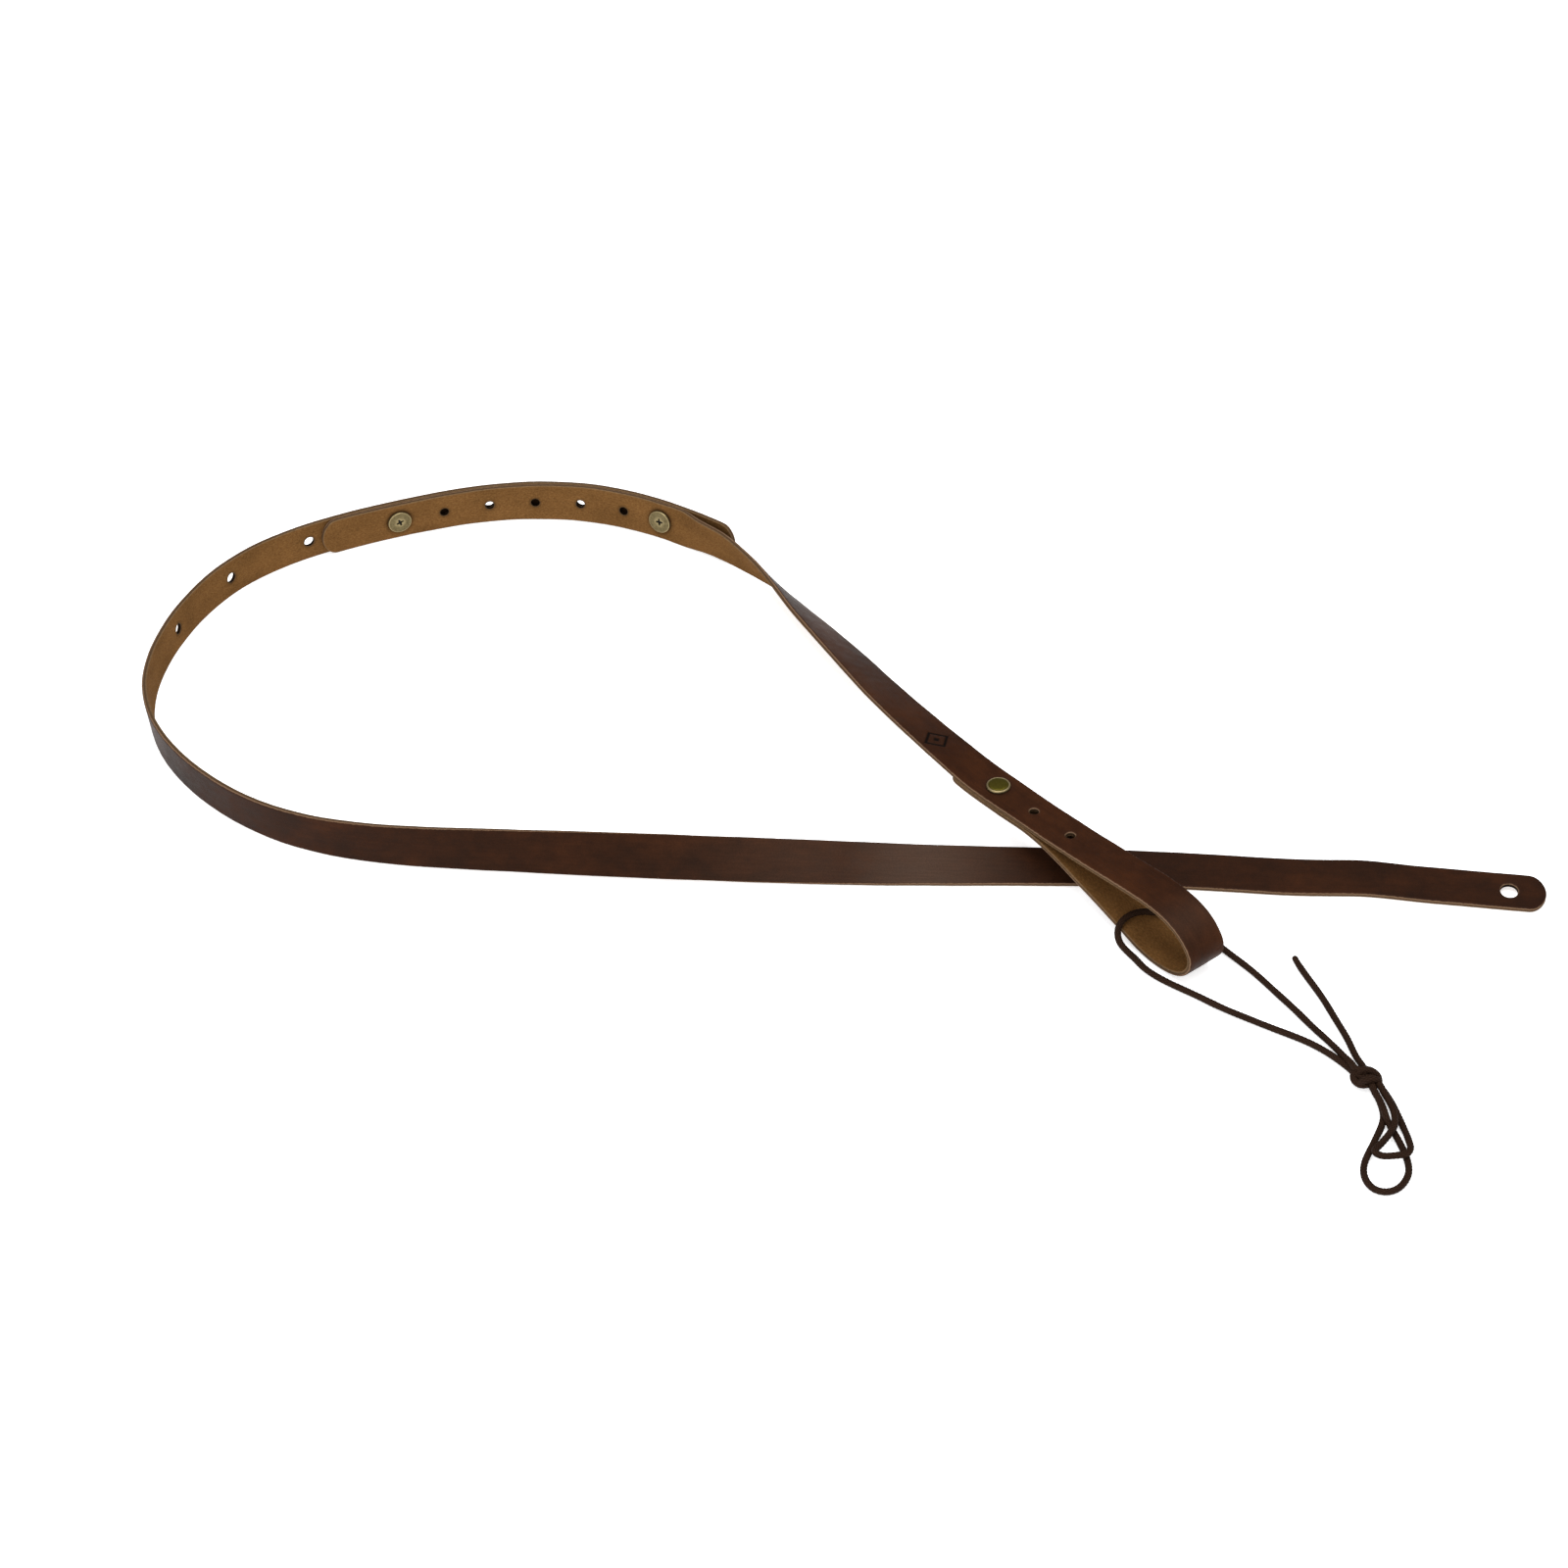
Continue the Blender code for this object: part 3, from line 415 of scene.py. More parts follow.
# ---- materials ---------------------------------------------------------------------------------
class Nodes:
    """Adds nodes to a material or world; a value may be a number, a colour or a socket to link."""

    def __init__(self, owner, shader="Principled BSDF"):
        owner.use_nodes = True
        self.owner, self.tree = owner, owner.node_tree
        self.shader = self.tree.nodes[shader]

    def feed(self, socket, value):
        if isinstance(value, bpy.types.NodeSocket):
            self.tree.links.new(value, socket)
        else:
            socket.default_value = value

    def add(self, kind, settings=None, inputs=None):
        node = self.tree.nodes.new(kind)
        for key, value in (settings or {}).items():
            setattr(node, key, value)
        for key, value in (inputs or {}).items():
            self.feed(node.inputs[key], value)
        return node

    def shade(self, inputs):
        for key, value in inputs.items():
            self.feed(self.shader.inputs[key], value)

    def attr(self, name, output="Fac"):
        return self.add("ShaderNodeAttribute", {"attribute_name": name}).outputs[output]

    def split(self, vector):
        return self.add("ShaderNodeSeparateXYZ", inputs={"Vector": vector}).outputs

    def math(self, operation, *values, clamp=False):
        settings = {"operation": operation, "use_clamp": clamp}
        return self.add("ShaderNodeMath", settings, dict(enumerate(values))).outputs[0]

    def scaled(self, value, by):
        return self.math("MULTIPLY", value, by)

    def weighted_sum(self, *terms):
        """Sum of sockets; a term written (socket, weight) is multiplied first."""
        total = None
        for term in terms:
            value = self.scaled(*term) if isinstance(term, tuple) else term
            total = value if total is None else self.math("ADD", total, value)
        return total

    def stretched(self, vector, by):
        settings = {"operation": "MULTIPLY"}
        return self.add("ShaderNodeVectorMath", settings, {0: vector, 1: by}).outputs[0]

    def noise(self, vector, stretch=None, scale=1.0, detail=3.0, rough=0.6, distort=0.0):
        if stretch:
            vector = self.stretched(vector, by=stretch)
        return self.add("ShaderNodeTexNoise", inputs={
            "Vector": vector, "Scale": scale, "Detail": detail, "Roughness": rough,
            "Distortion": distort}).outputs["Fac"]

    def ramp(self, factor, stops):
        """Colour ramp from (position, colour) stops; a single number is a grey."""
        node = self.add("ShaderNodeValToRGB", inputs={"Fac": factor})
        elements = node.color_ramp.elements
        while len(elements) > 1:
            elements.remove(elements[-1])
        for k, (position, colour) in enumerate(stops):
            element = elements[0] if k == 0 else elements.new(position)
            element.position = position
            element.color = (*(colour if isinstance(colour, tuple) else (colour,) * 3), 1.0)
        return node.outputs["Color"]

    def mix(self, base, over, share, mode="MIX"):
        """Colour mix of over on to base."""
        base, over = ((*colour, 1.0) if isinstance(colour, tuple) else colour
                      for colour in (base, over))
        settings = {"data_type": "RGBA", "blend_type": mode}
        return self.add("ShaderNodeMix", settings, {0: share, 6: base, 7: over}).outputs[2]

    def tint(self, base, factor, stops, share):
        """Base multiplied by a ramp, to vary its brightness."""
        return self.mix(base, self.ramp(factor, stops), share, "MULTIPLY")

    def blend(self, base, over, share):
        """Mix of two plain numbers."""
        settings = {"data_type": "FLOAT"}
        return self.add("ShaderNodeMix", settings, {0: share, 2: base, 3: over}).outputs[0]

    def remap(self, value, source=(0.0, 1.0), target=(0.0, 1.0)):
        return self.add("ShaderNodeMapRange", inputs={
            "Value": value, "From Min": source[0], "From Max": source[1],
            "To Min": target[0], "To Max": target[1]}).outputs[0]

    def bump(self, height, strength, distance):
        return self.add("ShaderNodeBump", inputs={
            "Height": height, "Strength": strength, "Distance": distance}).outputs[0]


def leather_material():
    mat = Nodes(bpy.data.materials.new("oiled_leather"))
    lay = mat.attr("lay", "Vector")
    flesh, wall, dark_halo, stamp, painted_shade, tone, painted_sheen = (mat.attr(name) for name in (
        "flesh", "wall", "dark_halo", "stamp", "painted_shade", "tone", "painted_sheen"))
    height = mat.split(lay)[2]

    # grain side: oily dark brown with cloudy reddish and blackish patches and a fine pebble
    cloud = mat.noise(lay, stretch=(0.028, 0.055, 0.055), rough=0.55, distort=0.4)
    blotch = mat.noise(lay, stretch=(0.16, 0.2, 0.2), detail=4.0, distort=0.2)
    mottle = mat.weighted_sum((cloud, 0.62), (blotch, 0.38))
    grain = mat.ramp(mat.weighted_sum(mottle, (tone, 0.14)), [
        (0.30, (0.0125, 0.0052, 0.0028)), (0.45, (0.0185, 0.0066, 0.0030)),
        (0.58, (0.0260, 0.0086, 0.0034)), (0.70, (0.0350, 0.0112, 0.0040)),
        (0.84, (0.0440, 0.0140, 0.0046))])
    # painted sheen: a lighter hazy brown mixed into the grain at given lengths along the strap
    sheen_brown = (0.0640, 0.0380, 0.0265)
    grain = mat.mix(grain, sheen_brown, share=mat.scaled(painted_sheen, by=0.8))
    speck = mat.noise(lay, scale=1.7, detail=4.0, rough=0.7)
    grain = mat.tint(grain, speck, [(0.30, (0.60, 0.60, 0.62)), (0.52, 1.0),
                                    (0.72, (1.45, 1.40, 1.34))], share=0.55)
    streak = mat.noise(lay, stretch=(0.05, 1.1, 1.1))
    grain = mat.tint(grain, streak, [(0.35, 0.80), (0.65, 1.2)], share=0.35)
    stamp_black, halo_brown = (0.0036, 0.0022, 0.0016), (0.020, 0.009, 0.006)
    grain = mat.mix(grain, stamp_black, share=stamp)
    # darker brown round the heads, caps and holes
    grain = mat.mix(grain, halo_brown, share=mat.scaled(dark_halo, by=0.45))

    # flesh side: tan suede nap with darker fibres
    nap = mat.noise(lay, stretch=(0.9, 1.5, 1.0), detail=5.0, rough=0.7, distort=0.3)
    patches = mat.noise(lay, stretch=(0.05, 0.09, 0.09))
    tan = mat.ramp(nap, [(0.28, (0.074, 0.0350, 0.0105)), (0.47, (0.118, 0.0565, 0.0180)),
                         (0.66, (0.166, 0.083, 0.0290))])
    tan = mat.tint(tan, patches, [(0.32, (0.74, 0.72, 0.68)), (0.68, (1.18, 1.16, 1.12))],
                   share=0.6)
    fleck = mat.noise(lay, scale=2.6, detail=2.0, rough=0.5)
    tan = mat.tint(tan, fleck, [(0.33, (0.62, 0.60, 0.56)), (0.5, 1.0), (0.7, 1.16)], share=0.4)
    # darker tan round the heads, caps and holes
    halo_tan = (0.024, 0.012, 0.0035)
    tan = mat.mix(tan, halo_tan, share=mat.scaled(dark_halo, by=0.80))

    # cut edge: bands of colour through the thickness, with an uneven border between them
    uneven = mat.noise(lay, stretch=(0.7, 0.2, 0.2))
    wobbly_height = mat.weighted_sum(height, (mat.math("SUBTRACT", uneven, 0.5), 0.9))
    level = mat.remap(wobbly_height, source=(-1.1, 1.1))
    edge = mat.ramp(level, [
        (0.0, (0.170, 0.106, 0.055)), (0.12, (0.120, 0.074, 0.038)), (0.34, (0.072, 0.042, 0.022)),
        (0.52, (0.060, 0.034, 0.018)), (0.64, (0.095, 0.057, 0.032)), (0.76, (0.185, 0.115, 0.070)),
        (0.88, (0.150, 0.090, 0.055)), (0.97, (0.042, 0.020, 0.010))])
    fibre = mat.noise(lay, stretch=(2.2, 1.0, 3.5), detail=4.0, rough=0.7)
    edge = mat.tint(edge, fibre, [(0.30, (0.55, 0.52, 0.50)), (0.52, 1.0),
                                  (0.74, (1.35, 1.33, 1.30))], share=0.6)

    # near black, for painted shade inside the holes and on the flesh side seen through them
    shade_black = (0.0060, 0.0030, 0.0016)
    colour = mat.mix(grain, tan, share=flesh)
    colour = mat.mix(colour, edge, share=wall)
    colour = mat.mix(colour, shade_black, share=painted_shade)

    stamp_rough, flesh_rough, wall_rough = 0.72, 0.93, 0.74
    rough = mat.remap(mat.weighted_sum(blotch, (speck, 0.5)), source=(0.5, 1.0),
                      target=(0.40, 0.56))
    rough = mat.blend(rough, stamp_rough, share=stamp)
    rough = mat.blend(rough, flesh_rough, share=flesh)
    rough = mat.blend(rough, wall_rough, share=wall)

    cells = mat.add("ShaderNodeTexVoronoi", {"feature": "DISTANCE_TO_EDGE"},
                    {"Vector": lay, "Scale": 1.35}).outputs["Distance"]
    pebble_top = 0.22
    pebble = mat.math("MINIMUM", cells, pebble_top)
    pore = mat.noise(lay, scale=3.2)
    relief = mat.weighted_sum((pebble, 0.9), (pore, 0.55), (blotch, 0.7))
    fluff = mat.weighted_sum((nap, 1.5), mat.noise(lay, scale=5.0, rough=0.7))
    relief = mat.blend(relief, fluff, share=flesh)
    relief = mat.blend(relief, mat.scaled(fibre, by=2.2), share=wall)
    mat.shade({
        "Base Color": colour,
        "Roughness": rough,
        "Specular IOR Level": mat.remap(mat.math("MAXIMUM", flesh, wall), target=(0.05, 0.02)),
        "Specular Tint": (1.0, 0.86, 0.76, 1.0),
        "Normal": mat.bump(relief, strength=0.55, distance=0.00016),
    })
    return mat.owner


# Values of the brass "zone" attribute; values between them blend.
FACE, RIM, DISC, RECESS = 0.0, 1.0, 2.0, 3.0


def brass_material():
    """Aged brass: worn bright on rims, olive brown on the cap disc, black in the recess."""
    mat = Nodes(bpy.data.materials.new("antique_brass"))
    spot = mat.attr("spot", "Vector")
    zone = mat.attr("zone")

    def in_zone(value):
        away = mat.math("ABSOLUTE", mat.math("SUBTRACT", zone, value))
        return mat.math("SUBTRACT", 1.0, away, clamp=True)

    dirt = mat.noise(spot, scale=0.9, detail=4.0, rough=0.65, distort=0.3)
    fine = mat.noise(spot, scale=4.5)
    colour = mat.ramp(dirt, [(0.30, (0.078, 0.060, 0.026)), (0.55, (0.122, 0.096, 0.046)),
                             (0.75, (0.168, 0.136, 0.070))])
    colour = mat.tint(colour, fine, [(0.35, 0.78), (0.65, 1.18)], share=0.5)
    olive = mat.ramp(dirt, [(0.30, (0.066, 0.053, 0.0065)), (0.60, (0.098, 0.081, 0.0110)),
                            (0.8, (0.135, 0.112, 0.018))])
    bright = mat.ramp(fine, [(0.35, (0.225, 0.178, 0.088)), (0.65, (0.36, 0.29, 0.155))])
    colour = mat.mix(colour, bright, share=in_zone(RIM))
    colour = mat.mix(colour, olive, share=in_zone(DISC))
    recess = mat.math("SUBTRACT", zone, DISC, clamp=True)
    recess_black, recess_rough = (0.012, 0.010, 0.006), 0.8
    colour = mat.mix(colour, recess_black, share=recess)
    rough = mat.remap(dirt, source=(0.3, 0.75), target=(0.52, 0.36))

    # fine rings round the axis, as a lathe leaves them
    radius = mat.add("ShaderNodeVectorMath", {"operation": "LENGTH"},
                     {0: mat.stretched(spot, by=(1.0, 1.0, 0.0))}).outputs["Value"]
    radius = mat.add("ShaderNodeCombineXYZ", inputs={"X": radius}).outputs[0]
    rings = mat.noise(radius, scale=7.0, detail=2.0, rough=0.5)
    mat.shade({
        "Base Color": colour,
        "Metallic": mat.remap(recess, target=(1.0, 0.3)),
        "Roughness": mat.blend(rough, recess_rough, share=recess),
        "Normal": mat.bump(mat.weighted_sum(rings, (fine, 0.6)), strength=0.35, distance=0.00006),
    })
    return mat.owner


def lace_material():
    mat = Nodes(bpy.data.materials.new("braided_lace"))
    lay, crown = mat.attr("lay", "Vector"), mat.attr("crown")
    thread = mat.noise(lay, stretch=(1.2, 3.5, 1.0), detail=4.0, rough=0.65, distort=0.4)
    patches = mat.noise(lay, stretch=(0.12, 0.3, 0.3), detail=2.0, rough=0.5)
    # darker in the braid's gaps than on its crowns: painted shade between the strands
    colour = mat.ramp(crown, [(0.0, (0.0070, 0.0034, 0.0020)), (0.45, (0.0165, 0.0078, 0.0044)),
                              (1.0, (0.0300, 0.0148, 0.0086))])
    colour = mat.tint(colour, thread, [(0.3, 0.62), (0.7, (1.40, 1.36, 1.30))], share=0.6)
    colour = mat.tint(colour, patches, [(0.35, 0.82), (0.65, (1.18, 1.16, 1.12))], share=0.5)
    ply = mat.noise(lay, stretch=(2.4, 9.0, 1.0))
    mat.shade({
        "Base Color": colour,
        "Roughness": mat.remap(thread, source=(0.3, 0.7), target=(0.62, 0.82)),
        "Specular IOR Level": 0.05,
        "Normal": mat.bump(ply, strength=0.5, distance=0.00012),
    })
    return mat.owner


LEATHER_MAT, BRASS_MAT, LACE_MAT = leather_material(), brass_material(), lace_material()

# ---- straps ------------------------------------------------------------------------------------
# How a cut edge and a punched hole roll over, from the grain skin to the flesh skin: inset from the
# outline, height for a ply of half thickness PROFILE_HALF, share of edge colour.
PROFILE_HALF = 1.1
ROLL = [
    (0.85, 1.10, 0.0), (0.50, 1.085, 0.0), (0.26, 1.03, 0.15), (0.10, 0.90, 0.75), (0.0, 0.68, 1.0),
    (0.0, 0.25, 1.0), (0.0, -0.25, 1.0), (0.0, -0.80, 1.0), (0.05, -0.98, 0.95),
    (0.18, -1.07, 0.55), (0.42, -1.10, 0.1), (0.85, -1.10, 0.0),
]
PUNCH = [
    (0.75, 1.08, 0.0), (0.46, 1.03, 0.2), (0.24, 0.90, 0.7), (0.08, 0.66, 1.0), (0.0, 0.36, 1.0),
    (0.0, 0.0, 1.0), (0.0, -0.5, 1.0), (0.0, -0.9, 1.0), (0.06, -1.03, 0.8), (0.20, -1.08, 0.4),
    (0.45, -1.10, 0.1), (0.75, -1.10, 0.0),
]
LIP = ROLL[0][0]
SKIN_STEP = 1.35        # spacing of the skin's columns
HOLE_SIDES = 40
STAMP_AT = np.array([LOOP_SCREW - 42.5, 1.2])   # along, sideways
STAMP_DEEP = 0.30
SEAT_DENT, SEAT_SWELL = 0.30, 0.10  # dent under a head or cap, and the swelling round it
HOLE_DIP = 0.10         # how far the skins draw in at a hole


def stamp_shape(along, sideways):
    """A plain lozenge outline with a small lozenge in its middle."""
    reach = np.abs(along - STAMP_AT[0]) / 7.2 + np.abs(sideways - STAMP_AT[1]) / 6.8
    return np.maximum(fade(np.abs(reach - 0.82), 0.09, 0.16), fade(reach, 0.18, 0.28))


def rounded_end(at, way):
    """Outline of a strap end from one edge to the other, with its two shoulders softened."""
    wide = math.asin(HALF_W / END_R)
    arc = np.linspace(-wide, wide, 41)
    end = np.column_stack([at + way * (END_R * np.cos(arc) - END_R), END_R * np.sin(arc)])
    run = np.arange(1, 9) * 0.55
    lead = np.column_stack([end[0, 0] - way * run[::-1], np.full(8, -HALF_W)])
    trail = np.column_stack([end[-1, 0] - way * run, np.full(8, HALF_W)])
    points = np.vstack([lead, end, trail])
    for _ in range(14):
        middle = (points[:-2] + points[2:]) / 2
        points[1:-1] += 0.6 * (middle - points[1:-1])
    return points


def inward_of(loop):
    along = np.roll(loop, -1, 0) - np.roll(loop, 1, 0)
    along = along / np.linalg.norm(along, axis=1)[:, None]
    return np.column_stack([-along[:, 1], along[:, 0]])


def patch(border_ids, flat, hole_ids, spots):
    """Triangles of one window of the strap, between a closed border and closed rings, and the free
    spots it keeps, which are numbered on from the points of flat."""
    middle = flat[border_ids].mean(0)
    border = flat[border_ids] - middle
    rings = [flat[ids] - middle for ids in hole_ids]
    kept = []
    for spot in spots - middle:
        if (inside(spot, border) and np.linalg.norm(border - spot, axis=1).min() > 0.55
                and all(not inside(spot, ring)
                        and np.linalg.norm(ring - spot, axis=1).min() > 0.35 for ring in rings)):
            kept.append(spot)
    kept = np.array(kept).reshape(-1, 2)
    _, triangles = cut_flat([border] + rings, kept)
    ids = [np.asarray(border_ids), *hole_ids, len(flat) + np.arange(len(kept))]
    ids = np.concatenate(ids).astype(int)
    return [tuple(ids[list(triangle)]) for triangle in triangles], kept + middle


def grid_points(x, y):
    return np.stack(np.meshgrid(x, y, indexing="ij"), -1).reshape(-1, 2)


def window_spots(low, high, rows, holes, stamped):
    """Free points for a window: a grid, finer under the stamp, with rings round the holes."""
    spots = grid_points(np.arange(low + 0.6, high, SKIN_STEP * 0.86), rows)
    if stamped and low < STAMP_AT[0] < high:
        spots = spots[~(np.abs(spots - STAMP_AT).max(1) < 7.4)]
        fine = grid_points(np.arange(-7.1, 7.2, 0.33), np.arange(-6.3, 6.4, 0.33))
        spots = np.vstack([spots, fine + STAMP_AT])
    rings = []
    for place, radius in holes:
        if low < place < high:
            spots = spots[np.linalg.norm(spots - np.array([place, 0]), axis=1) > radius + 2.6]
            for grow, sides in ((1.25, 36), (1.95, 30)):
                rings.append(circle(radius + grow, sides, x=place, phase=0.05))
    return np.vstack([spots] + rings)


def strap_plan(start, stop, rounded, holes, stamped):
    """One skin laid flat: its points (along, sideways), its faces, and its closed loops. A loop is
    its outline, directions into the leather, roll profile and ids of the skin's matching points."""
    ends = [rounded_end(at, way) if is_round else None
            for at, way, is_round in zip((start, stop), (-1, 1), rounded)]
    first = ends[0][0, 0] if rounded[0] else start
    last = ends[1][0, 0] if rounded[1] else stop
    columns = np.linspace(first, last, max(3, int(round((last - first) / SKIN_STEP)) + 1))
    rows = np.concatenate([[-HALF_W + LIP], np.linspace(-HALF_W + 1.9, HALF_W - 1.9, 12),
                           [HALF_W - LIP]])
    column_count, row_count = len(columns), len(rows)
    ids = np.arange(column_count * row_count).reshape(column_count, row_count)
    flat = grid_points(columns, rows)

    # the cut edge as sections, anticlockwise: points, skin ids, inward direction. On a rounded end
    # the direction is None and the skin gets points of its own.
    def side(order, sideways, edge_ids, inward):
        points = np.column_stack([columns[::order], np.full(column_count, sideways)])
        return points, edge_ids[::order], inward

    end_ids, total = [None, None], len(flat)
    sections = [side(1, -HALF_W, ids[:, 0], (0, 1))]
    for k, column, order in ((1, column_count - 1, 1), (0, 0, -1)):
        if rounded[k]:
            points = ends[k][1:-1][::order]
            end_ids[k] = total + np.arange(len(points))
            total += len(points)
            direction = None
        else:
            points = np.column_stack([np.full(row_count - 2, columns[column]),
                                      rows[1:-1] * HALF_W / (HALF_W - LIP)])[::order]
            end_ids[k] = ids[column, 1:-1][::order]
            direction = np.column_stack([np.zeros(len(points)), -points[:, 1] / HALF_W])
        sections.append((points, end_ids[k], direction))
        if k == 1:
            sections.append(side(-1, HALF_W, ids[:, -1], (0, -1)))
    outline = np.vstack([points for points, _, _ in sections])
    inward = inward_of(outline)
    done = 0
    for points, _, direction in sections:
        span = slice(done, done + len(points))
        done += len(points)
        if direction is None:
            flat = np.vstack([flat, points + inward[span] * LIP])
        else:
            inward[span] = direction
    loops = [(outline, inward, ROLL, np.concatenate([names for _, names, _ in sections]))]
    ring = circle(1.0, HOLE_SIDES)
    for place, radius in holes:
        centre = np.array([place, 0])
        loops.append((centre + radius * ring, ring, PUNCH, len(flat) + np.arange(HOLE_SIDES)))
        flat = np.vstack([flat, centre + (radius + PUNCH[0][0]) * ring])

    # windows that need more than the plain grid
    spans = [(place - radius - 3.2, place + radius + 3.2) for place, radius in holes]
    if stamped:
        spans.append((STAMP_AT[0] - 9.5, STAMP_AT[0] + 9.5))
    if rounded[0]:
        spans.append((start, first + 4))
    if rounded[1]:
        spans.append((last - 4, stop))
    spans = sorted((max(0, int(np.searchsorted(columns, low)) - 1),
                    min(column_count - 1, int(np.searchsorted(columns, high))))
                   for low, high in spans)
    windows = []
    for left, right in spans:
        if windows and left <= windows[-1][1]:
            windows[-1][1] = max(right, windows[-1][1])
        else:
            windows.append([left, right])
    faces, plain = [], np.ones(column_count - 1, bool)
    for left, right in windows:
        plain[left:right] = False
        at_start, at_stop = left == 0, right == column_count - 1
        border = [*ids[left:right + 1, 0], *(end_ids[1] if at_stop else ids[right, 1:-1]),
                  *ids[left:right + 1, -1][::-1],
                  *(end_ids[0] if at_start else ids[left, 1:-1][::-1])]
        low, high = (start if at_start else columns[left]), (stop if at_stop else columns[right])
        hole_ids = [loop[3] for loop, (place, _) in zip(loops[1:], holes) if low < place < high]
        spots = window_spots(low, high, rows[1:-1], holes, stamped)
        found, kept = patch(border, flat, hole_ids, spots)
        flat = np.vstack([flat, kept])
        faces += found
    for j in np.flatnonzero(plain):
        for i in range(row_count - 1):
            faces.append((ids[j, i], ids[j + 1, i], ids[j + 1, i + 1], ids[j, i + 1]))
    return flat, faces, loops


def strap_solid(flat, skin, loops):
    """Both skins and the rolled walls between them: flat points, height, wall, flesh and faces."""
    count = len(flat)
    points = [flat, flat]
    height = [np.full(count, EDGE), np.full(count, -EDGE)]
    wall = [np.zeros(2 * count)]
    flesh = [np.zeros(count), np.ones(count)]
    faces = skin + [tuple(i + count for i in reversed(face)) for face in skin]
    base = 2 * count
    for outline, inward, profile, skin_ids in loops:
        sides = len(outline)
        rings = [skin_ids]
        for inset, level, share in profile[1:-1]:
            points.append(outline + inward * inset)
            height.append(np.full(sides, level * EDGE / PROFILE_HALF))
            wall.append(np.full(sides, share))
            flesh.append(np.full(sides, 1.0 if level < 0 else 0.0))
            rings.append(np.arange(base, base + sides))
            base += sides
        rings.append(skin_ids + count)
        for upper, lower in zip(rings[:-1], rings[1:]):
            for i in range(sides):
                j = (i + 1) % sides
                if profile is ROLL:
                    faces.append((upper[j], upper[i], lower[i], lower[j]))
                else:
                    faces.append((upper[i], upper[j], lower[j], lower[i]))
    return np.vstack(points), *(np.concatenate(part) for part in (height, wall, flesh)), faces


def strap(name, band, start, stop, rounded, holes, seats, seed,
          stamped=False, shadow_spots=(), tone=0.0, sheen_patches=()):
    """One strap length laid along the band. rounded tells which ends are; holes are (along, radius);
    seats of heads and caps are (along, side of the leather); spots of painted shadow on the flesh side
    are given by their lengths, and patches of painted sheen on the grain by (along, spread, strength)."""
    flat, skin, loops = strap_plan(start, stop, rounded, holes, stamped)
    points, height, wall, flesh, faces = strap_solid(flat, skin, loops)
    along, sideways = points[:, 0], points[:, 1]
    lift, dark_halo, painted_shade, painted_sheen, mark = (np.zeros(len(along)) for _ in range(5))
    for place, side in seats:
        reach = np.hypot(along - place, sideways)
        on_side = (height * side > 0).astype(float)
        lift -= side * on_side * SEAT_DENT * fade(reach, 4.8, 7.6)
        lift += side * on_side * SEAT_SWELL * np.exp(-((reach - 8.2) / 1.4) ** 2)
        # the leather is darker round the seat
        dark_halo = np.maximum(dark_halo, 0.9 * fade(reach, 5.2, 8.2) * on_side)
    for place, radius in holes:
        reach = np.hypot(along - place, sideways)
        # and darker round the hole
        dark_halo = np.maximum(dark_halo, 0.5 * fade(reach, radius + 0.2, radius + 1.8))
        on_skin = np.abs(height) > 0.9
        lift -= np.sign(height) * HOLE_DIP * fade(reach, radius, radius + 2.2) * on_skin
        # painted shade inside the hole, and a border of painted shade round it on the flesh side
        depth = 0.55 if radius == LOOP_HOLE_R else 1.0
        in_hole = reach < radius + 0.02
        painted_shade = np.maximum(painted_shade, depth * in_hole * fade(np.abs(height), 0.70, 0.86) * wall)
        border = (reach < radius + 0.9) * (height < -0.6)
        painted_shade = np.maximum(painted_shade, border * 0.55 * fade(reach, radius, radius + 0.7))
    # spots of painted shadow on the flesh side, where it shows through a hole of the ply against it
    for place in shadow_spots:
        reach = np.hypot(along - place, sideways)
        painted_shade = np.maximum(painted_shade, 0.97 * fade(reach, 4.6, 7.0) * (height < 0))
    # patches of painted sheen at given lengths along the strap
    for place, spread, strength in sheen_patches:
        painted_sheen = np.maximum(painted_sheen, strength * np.exp(-((along - place) / spread) ** 2))
    if stamped:
        mark = stamp_shape(along, sideways) * (height > 0.9 * EDGE)
        lift -= STAMP_DEEP * mark

    # unevenness: a long wave of the whole ply, a short one of its thickness, then its cut edges
    lift += 0.045 * ripple(along, sideways, seed, scale=34.0)
    lift += 0.022 * ripple(along, sideways, seed + 1, scale=9.0) * (height / EDGE)
    hand, width = np.sign(sideways), np.abs(sideways)
    wavy = sideways + 0.055 * ripple(along, 0 * along, seed + 2, scale=26.0) * hand * smooth(
        width, 6, 9)
    wavy += 0.022 * ripple(along, height * 3, seed + 3, scale=4.5) * hand * smooth(width, 9.0, 9.5)

    verts = band.at(along, wavy, height + lift)
    grain = band.frame(np.array([along[skin[0][0]]]))[2][0]
    corner = verts[list(skin[0])]
    if np.dot(np.cross(corner[1] - corner[0], corner[2] - corner[0]), grain) < 0:
        faces = [tuple(reversed(face)) for face in faces]
    # each seed reads its own stretch of the textures
    attrs = {"lay": np.column_stack([along + seed * 211.0, sideways, height]), "wall": wall,
             "flesh": flesh, "dark_halo": dark_halo, "stamp": mark, "painted_shade": painted_shade,
             "tone": np.full(len(along), tone), "painted_sheen": painted_sheen}
    return mesh_piece(name, verts, faces, LEATHER_MAT, attrs, sharp=52)


